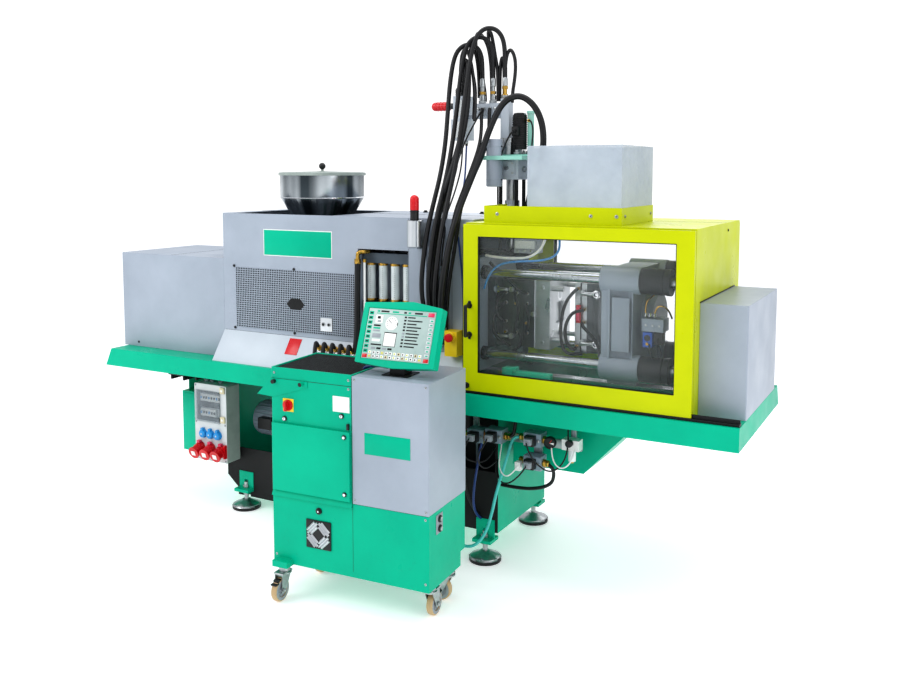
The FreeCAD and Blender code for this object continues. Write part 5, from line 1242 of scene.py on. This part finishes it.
for x in (-1103, -1027, -951):
    start = Vector((x, -388, 345))
    for step in (22, 40):
        turned(reds, start + LEAN * step, [(29, -2), (31.5, -1), (31.5, 1), (29, 2)], 0, 36,
               axis=tuple(LEAN))
    face = start + LEAN * 78
    made = block(reds, -13, 13, -1.5, 2, -13, 13, 1)
    bmesh.ops.transform(reds, verts=made,
                        matrix=Matrix.Translation(face) @ Matrix.Rotation(LEAN_ANGLE, 4, "X"))
    block(reds, x - 9, x + 9, -424, -407, 368, 380, 2)
block(reds, -930, -918, -418, -399.9, 300, 372, 0)
finish_piece(reds, "red_socket_rings", [red_plastic, white_plastic, pink_plastic], "machine", 0)
screws("box_screws", [(x, -400, z, "front") for x in (-1134, -927) for z in (281, 478, 681)],
       "machine", grey_plastic, 4)
cabinet = bmesh.new()
block(cabinet, -1420, -1150, -203, -200, 236, 564)
block(cabinet, -1434, -1431, -190, 150, 236, 564)
bar(cabinet, (-1172, -203, 400), (-1172, -207, 400), 10, 1)
finish_piece(cabinet, "side_cabinet_doors", [teal_coat, black_plastic], "machine", 1.6)
pipe("box_mains_leads", [
    [(-1060, -348, 690), (-1060, -348, 716), (-1058, -330, 736), (-1040, -250, 744)],
    [(-1000, -348, 690), (-1000, -348, 712), (-996, -326, 730), (-970, -250, 742)],
    [(-1100, -348, 690), (-1100, -346, 722), (-1108, -300, 744), (-1150, -220, 742)]],
     14, rubber, "machine")
glands = bmesh.new()
for x in (-1100, -1060, -1000):
    bar(glands, (x, -348, 692), (x, -348, 706), 13, 0, sides=6)
finish_piece(glands, "box_glands", [grey_plastic], "machine", 1.0)
print("distribution box finished")

# %% [markdown]
# Cooling water is switched under the tray. Each valve body carries a black solenoid with a plug on top, brass
# unions at both ends and a lead back to the base; there are a small gauge and a filter bowl.

# %% Valve bank fittings
coils, unions = bmesh.new(), bmesh.new()
for x, z in ((566, 620), (658, 632), (851, 641), (851, 535)):
    block(coils, x - 26, x + 20, -368 - 34, -368, z - 22, z + 24, 0)
    block(coils, x - 20, x + 14, -402 - 20, -400, z - 12, z + 16, 1)
    bar(coils, (x - 3, -421, z + 2), (x - 3, -427, z + 2), 6, 2, sides=6)
    bar(coils, (x + 31, -368, z), (x + 31, -376, z), 8, 2, sides=6)
    for side in (-1, 1):
        bar(unions, (x + side * 44, -340, z), (x + side * 56, -340, z), 19, 0, sides=6)
        bar(unions, (x + side * 62, -340, z), (x + side * 72, -340, z), 16, 0, sides=6)
finish_piece(coils, "valve_solenoids", [black_plastic, grey_plastic, zinc_steel], "machine", 2.2)
finish_piece(unions, "valve_unions_brass", [brass], "machine", 0.9)
gauge = bmesh.new()
turned(gauge, (935, -352, 640), [(0.01, 0), (27, 0), (27, 20), (23, 23), (23, 19), (0.01, 19)], 0, 40,
       axis=(0, -1, 0))
turned(gauge, (935, -371, 640), [(0.01, 0), (22, 0), (22, 0.8), (0.01, 0.8)], 1, 40, axis=(0, -1, 0))
bar(gauge, (935, -372, 640), (947, -372.6, 655), 1.2, 2, sides=6)
bar(gauge, (935, -340, 640), (935, -352, 640), 8, 3, sides=6)
finish_piece(gauge, "pressure_gauge", [black_plastic, white_plastic, red_plastic, brass], "machine", 0)
filter_bits = bmesh.new()
bar(filter_bits, (1025, -350, 648), (1025, -374, 648), 16, 0, sides=12)
bar(filter_bits, (1025, -325, 612), (1025, -325, 560), 17, 1)
bar(filter_bits, (1025, -325, 562), (1025, -325, 552), 9, 2, sides=6)
block(filter_bits, 780, 806, -400, -370, 500, 540, 3)
finish_piece(filter_bits, "filter_fittings", [black_plastic, sight_tube, brass, white_plastic],
             "machine", 1.4)
pipe("valve_leads", [
    [(563, -428, 622), (560, -444, 610), (540, -446, 560), (546, -420, 520), (600, -380, 500),
     (625, -330, 520), (628, -284, 560)],
    [(655, -428, 634), (650, -446, 610), (618, -448, 560), (610, -420, 500), (628, -360, 470),
     (632, -284, 490)],
    [(848, -428, 643), (860, -446, 620), (900, -440, 560), (960, -420, 520), (1010, -390, 560),
     (1020, -350, 640), (1000, -318, 730)],
    [(848, -428, 537), (830, -444, 500), (760, -440, 440), (690, -400, 450), (640, -284, 500)]],
     7, rubber, "machine")
pipe("valve_white_leads", [
    [(793, -400, 520), (786, -420, 500), (748, -430, 470), (700, -400, 500), (690, -360, 560),
     (684, -330, 600)],
    [(946, -372, 620), (960, -400, 570), (1010, -412, 540), (1054, -400, 580), (1050, -360, 620)]],
     6, white_plastic, "machine")
pipe("water_hoses", [
    [(714, -340, 632), (730, -340, 632), (748, -338, 650), (752, -330, 700), (752, -320, 728)],
    [(510, -340, 620), (492, -342, 612), (486, -352, 560), (488, -350, 440), (500, -330, 330),
     (520, -300, 250), (540, -284, 210)],
    [(907, -340, 535), (930, -342, 530), (946, -336, 500), (930, -320, 440), (860, -300, 400),
     (760, -290, 380), (660, -284, 380)]], 16, rubber, "machine")
pipe("blue_water_hoses", [
    [(600, -340, 632), (596, -366, 600), (590, -392, 500), (576, -400, 400), (560, -380, 300),
     (552, -330, 230), (552, -284, 200)]], 12, navy_nylon, "machine")
print("valve bank finished")

# %% [markdown]
# The base is a welded box. In its open bays stand the pump's motor and the oil filter, its feet have lock
# nuts, and black angle brackets tie the tray to it.

# %% Base fittings
pump = bmesh.new()
turned(pump, (-780, -120, 470), [(0.01, -120), (88, -120), (92, -112), (92, 110), (80, 126),
                                 (40, 132), (40, 150), (0.01, 150)], 0, 56, axis=(1, 0, 0),
       first=(0, 0, 1))
for k in range(28):
    angle = k * math.tau / 28
    fin = Vector((0, math.cos(angle), math.sin(angle)))
    bar(pump, Vector((-885, -120, 470)) + fin * 94, Vector((-690, -120, 470)) + fin * 94, 2.6, 0,
        sides=4)
block(pump, -830, -740, -250, -205, 440, 500, 1)
finish_piece(pump, "pump_motor", [cast_coat, black_plastic], "machine", 0)
oil = bmesh.new()
turned(oil, (420, -190, 560), [(0.01, 0), (52, 0), (56, 6), (56, 150), (60, 156), (60, 190),
                               (30, 196), (0.01, 196)], 0, 48)
bar(oil, (420, -190, 754), (420, -190, 770), 20, 1, sides=6)
finish_piece(oil, "oil_filter", [black_coat, zinc_steel], "machine", 0)
brackets = bmesh.new()
for x0, x1, y0 in ((-1336, -1219, -400), (-1194, -1100, -360)):
    block(brackets, x0, x1, y0, -262, 716, 736)
    block(brackets, x0 + 8, x0 + 20, y0 + 10, -262, 690, 718)
    block(brackets, x1 - 20, x1 - 8, y0 + 10, -262, 690, 718)
for x in (90, 180):
    block(brackets, x, x + 30, -330, -322, 664, 736)
    block(brackets, x, x + 30, -330, -262, 729, 736)
finish_piece(brackets, "tray_brackets", [black_coat], "machine", 1.5)
# A near-black box fills the base bay as painted shade, with a few grey ribs on its face.
bay_shade = bmesh.new()
block(bay_shade, -640, 560, -150, 200, 190, 812)
for k in range(7):
    block(bay_shade, -560 + k * 170, -548 + k * 170, -158, -149, 220, 780, 1)
finish_piece(bay_shade, "bay_painted_shade_box", [shadow_black, cast_coat], "machine", 3.0)
nuts = bmesh.new()
for x in (-889, 576):
    for y in (-284, 284):
        bar(nuts, (x, y, 114), (x, y, 128), 19, 0, sides=6)
        turned(nuts, (x, y, 19), [(76, -3), (78.5, 0), (76, 3)], 1, 48)
finish_piece(nuts, "foot_lock_nuts", [zinc_steel, rubber], "machine", 0)
screws("base_screws", [(x, -280, z, "front") for x in (-560, -300, -40) for z in (240, 690)]
       + [(x, 280, z, "back") for x in (-1000, -200, 610) for z in (240, 700)], "machine", zinc_steel, 7)
print("base finished")

# %% [markdown]
# The upright unit is crowded at its head: nuts on the columns, hexagon unions under each hose, a terminal
# plug, thin leads, and the ribbed black motor, with a silver cylinder in front. Its block carries clamps, a
# heater cap and a feed nipple. Every lead here is fixed at both ends: some loop over the head from one union
# to the next, and the long ones run down to the ledge beside the screen.

# %% Upright unit fittings
head = bmesh.new()
for x in (533, 617):
    for y in (-42, 42):
        bar(head, (x, y, 1920), (x, y, 1932), 15, 0, sides=6)
        bar(head, (x, y, 1931), (x, y, 1942), 8, 0)
for x, z in ((412, 2170), (470, 2170), (534, 2192)):
    bar(head, (x, 0, z), (x, 0, z + 14), 19, 0, sides=6)
    bar(head, (x, 0, z + 44), (x, 0, z + 58), 15, 1, sides=6)
for x in (408, 440, 472, 500):
    bar(head, (x, -34, 2142), (x, -42, 2142), 9, 0, sides=6)
bar(head, (671, 0, 1921), (671, 0, 1938), 22, 0, sides=6)
bar(head, (671, 0, 2106), (671, 0, 2122), 17, 0, sides=6)
bar(head, (671, -14, 2080), (671, -30, 2080), 7, 1)
finish_piece(head, "unit_head_fittings", [zinc_steel, brass], "machine", 0.8)
sleeve = bmesh.new()
turned(sleeve, (532, -110, 0), [(0.01, 1767), (34, 1767), (39, 1771), (39, 1986), (35, 1992),
                                (0.01, 1992)], 0, 56)
for z in (1800, 1958):
    turned(sleeve, (532, -110, z), [(39, -3), (40.2, 0), (39, 3)], 1, 56)
block(sleeve, 471, 694, -152, -40, 1894, 1913, 2)
finish_piece(sleeve, "unit_front_cylinder", [silver_coat, shadow_black, mint_coat], "machine", 0)
fins = bmesh.new()
for k in range(14):
    turned(fins, (617, -8, 1958 + k * 10.5), [(33.5, -2), (37.5, -1.4), (37.5, 1.4), (33.5, 2)], 0, 36)
turned(fins, (617, -8, 2109), [(0.01, 0), (30, 0), (30, 6), (24, 10), (0.01, 10)], 1, 36)
finish_piece(fins, "unit_motor_fins", [black_plastic, grey_plastic], "machine", 0)
terminal = bmesh.new()
block(terminal, 600, 634, -66, -40, 2010, 2052, 0)
bar(terminal, (617, -66, 2031), (617, -80, 2031), 9, 0)
block(terminal, 272, 336, -48.5, -44.8, 2004, 2084, 1)
block(terminal, 282, 328, -43, -39.8, 2112, 2190, 1)
for x in (280, 302, 324):
    bar(terminal, (x, 0, 1992), (x, 0, 1976), 10, 2, sides=6)
    bar(terminal, (x, 0, 1978), (x, 0, 1966), 7, 0)
finish_piece(terminal, "terminal_covers", [black_plastic, pale_plastic, zinc_steel], "machine", 1.4)
lens = bmesh.new()
for x in (162, 180, 198, 216):
    turned(lens, (x, 0, 2163), [(21.5, -2.2), (23.4, 0), (21.5, 2.2)], 0, 36, axis=(1, 0, 0),
           first=(0, 0, 1))
finish_piece(lens, "lamp_rings", [red_plastic], "machine", 0)
caps = bmesh.new()
block(caps, 533, 617, -64, -57.8, 1822, 1888, 0)
for x in (545, 605):
    for z in (1832, 1878):
        bar(caps, (x, -64, z), (x, -68, z), 6, 1, sides=6)
bar(caps, (575, -64, 1855), (575, -74, 1855), 11, 1, sides=6)
bar(caps, (632.8, 0, 1850), (646, 0, 1850), 13, 1, sides=6)
turned(caps, (575, 0, 1640), [(31, 0), (36, 0), (36, 60), (31, 60)], 1, 40)
finish_piece(caps, "unit_block_caps", [pale_coat, zinc_steel], "upright_unit", 0)
pipe("unit_leads", [
    [(280, 0, 1968), (280, -4, 1930), (292, -40, 1850), (306, -140, 1740), (316, -240, 1640),
     (312, -334, 1540), (322, -352, 1420), (330, -346, 1300), (330, -340, 1180), (345, -334, 1075)],
    [(302, 0, 1968), (303, -6, 1920), (318, -50, 1840), (336, -150, 1730), (346, -250, 1630),
     (350, -332, 1530), (354, -350, 1410), (352, -342, 1290), (352, -340, 1180), (362, -334, 1075)],
    [(617, -78, 2031), (617, -104, 2024), (596, -116, 1980), (560, -110, 1900), (545, -104, 1800),
     (545, -96, 1640)],
    [(671, -28, 2080), (690, -46, 2084), (706, -50, 2040), (700, -52, 1960), (690, -54, 1860),
     (684, -60, 1700)],
    [(440, -40, 2142), (440, -66, 2136), (424, -96, 2080), (380, -120, 1990), (366, -190, 1860),
     (380, -280, 1700), (384, -338, 1560), (376, -352, 1400)]], 8, rubber, "machine")
pipe("unit_conduit", [
    [(300, 0, 2250), (300, 0, 2290), (300, -6, 2350), (320, -24, 2384), (350, -50, 2366), (376, -84, 2301),
     (396, -126, 2196), (408, -176, 2076), (406, -228, 1959), (392, -276, 1844), (370, -318, 1731),
     (352, -340, 1638), (338, -346, 1500), (328, -346, 1350), (322, -344, 1200), (318, -340, 1075)]],
     32, rubber, "machine")
boot = bmesh.new()
turned(boot, (300, 0, 2208), [(0.01, 0), (33, 0), (34, 34), (24, 50), (0.01, 50)], 0, 40)
for k in range(4):
    turned(boot, (300, 0, 2212 + k * 8), [(33, -2.4), (36, 0), (33, 2.4)], 0, 40)
finish_piece(boot, "conduit_boot", [black_plastic], "machine", 0)
pipe("unit_hose_loops", [
    [(288, 12, 2212), (286, 12, 2280), (286, 8, 2392), (312, 0, 2448), (350, -20, 2410), (386, -50, 2309),
     (420, -95, 2198), (436, -140, 2090)],
    [(384, 20, 2200), (384, 20, 2261), (374, 20, 2389), (352, 10, 2462), (340, 0, 2431), (355, -20, 2368),
     (401, -60, 2260), (425, -100, 2185), (446, -150, 2080)],
    [(417, 22, 2180), (417, 22, 2218), (400, 22, 2309), (373, 22, 2389), (360, 22, 2481), (373, 22, 2521),
     (400, 22, 2502), (427, 22, 2458), (440, 22, 2409), (450, 22, 2325), (453, 22, 2264), (453, 22, 2180)],
    [(458, 10, 2180), (458, 10, 2257), (451, 10, 2383), (436, 10, 2504), (439, 10, 2522), (453, 10, 2512),
     (466, 10, 2454), (478, 10, 2388), (491, 10, 2321), (493, 10, 2180)],
    [(498, 16, 2180), (498, 16, 2322), (507, 16, 2393), (519, 16, 2380), (523, 16, 2261), (523, 16, 2180)],
    [(527, 6, 2200), (527, 6, 2257), (531, 6, 2331), (539, 6, 2402), (560, 6, 2429), (583, 6, 2387),
     (587, 6, 2328), (580, 6, 2269), (570, 6, 2211), (570, 6, 2170)],
    [(431, -40, 2142), (438, -64, 2110), (453, -90, 2050), (473, -150, 1960), (469, -230, 1844),
     (450, -290, 1731), (438, -340, 1638), (426, -354, 1500), (404, -358, 1340), (384, -352, 1200),
     (378, -346, 1075)],
    [(471, -40, 2142), (478, -60, 2100), (492, -90, 2020), (499, -150, 1931), (477, -220, 1816),
     (463, -280, 1731), (464, -330, 1654), (452, -354, 1500), (424, -360, 1340), (404, -352, 1200),
     (400, -346, 1075)]], 17, rubber, "machine")
pipe("unit_blue_lead", [
    [(324, 0, 1968), (326, -10, 1900), (352, -70, 1800), (390, -180, 1700), (430, -290, 1600),
     (466, -345, 1500), (486, -352, 1380), (492, -344, 1200), (486, -338, 1080)]], 9, navy_nylon,
     "machine")
print("upright unit finished")

# %% [markdown]
# The hopper is spun from sheet, with a rolled rim at the top of its cone, one under its lid and a ring at its
# neck. The feed block has cover plates, and each heater band its straps and a white plug. All of it rides
# with the injection unit, because the hopper stands on it.

# %% Hopper fittings
rim = bmesh.new()
turned(rim, (HOPPER_X, 0, 1700), [(226, -3), (227.6, -1.5), (227.6, 1.5), (226, 3)], 0, 72)
turned(rim, (HOPPER_X, 0, 1826), [(229, -3), (232.5, 0), (229, 3)], 0, 72)
turned(rim, (HOPPER_X, 0, 1402), [(50, 0), (54, 1), (54, 8), (50, 9)], 0, 48)
finish_piece(rim, "hopper_rims", [chrome], "injection_unit", 0)
feed = bmesh.new()
for side in (-1, 1):
    block(feed, -636, -484, side * 90 - 4, side * 90 + 4, 1180, 1260, 0)
block(feed, -650, -470, -104, -98, 1150, 1284, 1)
for x in (-640, -480):
    for z in (1160, 1274):
        bar(feed, (x, -104, z), (x, -110, z), 7, 2, sides=6)
finish_piece(feed, "feed_block_covers", [cast_coat, bright_plate, zinc_steel], "injection_unit", 0)
bands = bmesh.new()
for x in (-400, -250, -100, 50):
    for end in (4, 116):
        turned(bands, (x + end, 0, AXIS_Z), [(58.5, -5), (61.5, -5), (61.5, 5), (58.5, 5)], 0, 40,
               axis=(1, 0, 0), first=(0, 0, 1))
    block(bands, x + 48, x + 72, -14, 14, 1230, 1252, 1)
finish_piece(bands, "heater_band_straps", [chrome, white_plastic], "injection_unit", 0)
print("hopper and barrel finished")

# %% [markdown]
# The back of the machine is what a fitter sees: hinged doors with quarter-turn locks, louvres for the pump,
# a row of cable glands and two lifting plugs on the housing. All of it stays inside the machine's outline.

# %% Back and top
doors = bmesh.new()
for x0, x1 in ((-955, -470), (-450, 35), (55, 505)):
    block(doors, x0, x1, 330, 333, 880, 1570)
    for z in (1000, 1225, 1450):
        bar(doors, (x1 - 30, 333, z), (x1 - 30, 337, z), 13, 1)
        block(doors, x1 - 33, x1 - 27, 336, 339, z - 9, z + 9, 1)
    for z in (940, 1510):
        bar(doors, (x0 + 4, 335, z - 26), (x0 + 4, 335, z + 26), 5, 2)
finish_piece(doors, "back_doors", [silver_coat, black_plastic, zinc_steel], "machine", 1.6)
louvres = bmesh.new()
for x in (-830, -325, 170):
    for k in range(12):
        z = 1190 + k * 24
        block(louvres, x - 80, x + 80, 332.6, 338, z, z + 10)
        block(louvres, x - 76, x + 76, 337, 338.4, z - 3, z + 1, 1)
for k in range(9):
    z = 1090 + k * 24
    block(louvres, -1560, -1200, 279.6, 285, z, z + 10)
    block(louvres, -1556, -1204, 284, 285.4, z - 3, z + 1, 1)
    block(louvres, -1751.0, -1750.2, -180, 140, z, z + 10)
finish_piece(louvres, "back_louvres", [silver_coat, shadow_black], "machine", 1.4)
rear = bmesh.new()
for x0, x1, z0, z1 in ((623, 640, 945, 1545), (1473, 1490, 945, 1545), (623, 1490, 945, 958),
                       (623, 1490, 1532, 1545)):
    block(rear, x0, x1, 419.8, 424, z0, z1)
finish_piece(rear, "rear_window_frame", [black_coat], "machine", 1.2)
pane = bmesh.new()
block(pane, 634, 1479, 414, 417, 952, 1540)
finish_piece(pane, "rear_window_pane", [clear_pane], "machine", 0.6)
glands = bmesh.new()
for k in range(8):
    x = -1700 + k * 60
    bar(glands, (x, 280, 880), (x, 294, 880), 15, 0, sides=6)
    bar(glands, (x, 293, 880), (x, 308, 880), 10, 1)
finish_piece(glands, "back_glands", [zinc_steel, black_plastic], "machine", 1.0)
eyes = bmesh.new()
for x, y, z in (
                (300, 220, 1619), (-40, 220, 1619)):
    bar(eyes, (x, y, z), (x, y, z + 5), 14, 0, sides=6)
    bar(eyes, (x, y, z + 4), (x, y, z + 12), 9, 0)
finish_piece(eyes, "lifting_plugs", [black_plastic], "machine", 1.2)
tops = bmesh.new()
block(tops, -979, 529, -2, 2, 1618.9, 1619.6)
block(tops, -1364, -1362.4, -326, 279, 1375, 1375.5)
block(tops, 1238, 1573, 130, 131.4, 1610, 1610.5)
finish_piece(tops, "top_seams", [shadow_black], "machine", 0)
print("back and top finished")

# %% [markdown]
# The machine stands on a plain pale floor. Four large soft lights do the work of a studio: a broad key from
# the front left, a weaker fill from the right, one overhead that draws the top edges and one behind. They
# are big compared with the machine, so shadows are soft and the paint shows long gentle highlights.

# %% Floor and light
floor_bm = bmesh.new()
bmesh.ops.create_grid(floor_bm, x_segments=1, y_segments=1, size=30000)
floor_mesh = bpy.data.meshes.new("studio_floor")
bmesh.ops.transform(floor_bm, matrix=Matrix.Scale(0.001, 4), verts=floor_bm.verts[:])
floor_bm.to_mesh(floor_mesh)
floor_bm.free()
floor = bpy.data.objects.new("studio_floor", floor_mesh)
bpy.context.scene.collection.objects.link(floor)
paper, paper_tree, paper_shader, _ = start_material("studio_paper_white")
paper_shader.inputs["Base Color"].default_value = linear("#FCFCFC")
paper_shader.inputs["Roughness"].default_value = 0.85
paper_shader.inputs["Emission Color"].default_value = linear("#FFFFFF")
paper_shader.inputs["Emission Strength"].default_value = 0.3
floor_mesh.materials.append(paper)

world = bpy.data.worlds.new("studio_air")
world.use_nodes = True
world.node_tree.nodes["Background"].inputs["Color"].default_value = linear("#FFFFFF")
world.node_tree.nodes["Background"].inputs["Strength"].default_value = 1.0
# The camera sees pure white air, while the light that air sheds on the machine is softer than that.
air = world.node_tree
sheds = air.nodes.new("ShaderNodeBackground")
sheds.inputs["Color"].default_value = linear("#F2F5FA")
sheds.inputs["Strength"].default_value = 0.74
rays = air.nodes.new("ShaderNodeLightPath")
choose = air.nodes.new("ShaderNodeMixShader")
air.links.new(rays.outputs["Is Camera Ray"], choose.inputs[0])
air.links.new(sheds.outputs[0], choose.inputs[1])
air.links.new(air.nodes["Background"].outputs[0], choose.inputs[2])
air.links.new(choose.outputs[0], air.nodes["World Output"].inputs["Surface"])
bpy.context.scene.world = world


def soft_light(name, place, aim, size, power):
    data = bpy.data.lights.new(name, "AREA")
    data.shape = "RECTANGLE"
    data.size, data.size_y = size
    data.energy = power
    lamp = bpy.data.objects.new(name, data)
    lamp.location = at(*place)
    lamp.rotation_euler = (at(*aim) - at(*place)).to_track_quat("-Z", "Y").to_euler()
    bpy.context.scene.collection.objects.link(lamp)


soft_light("key_front_left", (-3200, -4200, 4200), (0, 0, 900), (3.2, 2.4), 100)
soft_light("fill_right", (5200, -1800, 2600), (400, 0, 1000), (2.6, 2.6), 34)
soft_light("overhead", (300, -300, 5200), (300, 0, 800), (4.5, 2.5), 70)
soft_light("back_rim", (-600, 4200, 3600), (0, 0, 1200), (3.0, 2.0), 40)
bpy.context.scene.view_settings.view_transform = "Standard"
bpy.context.scene.view_settings.look = "Medium High Contrast"
print("stage set")
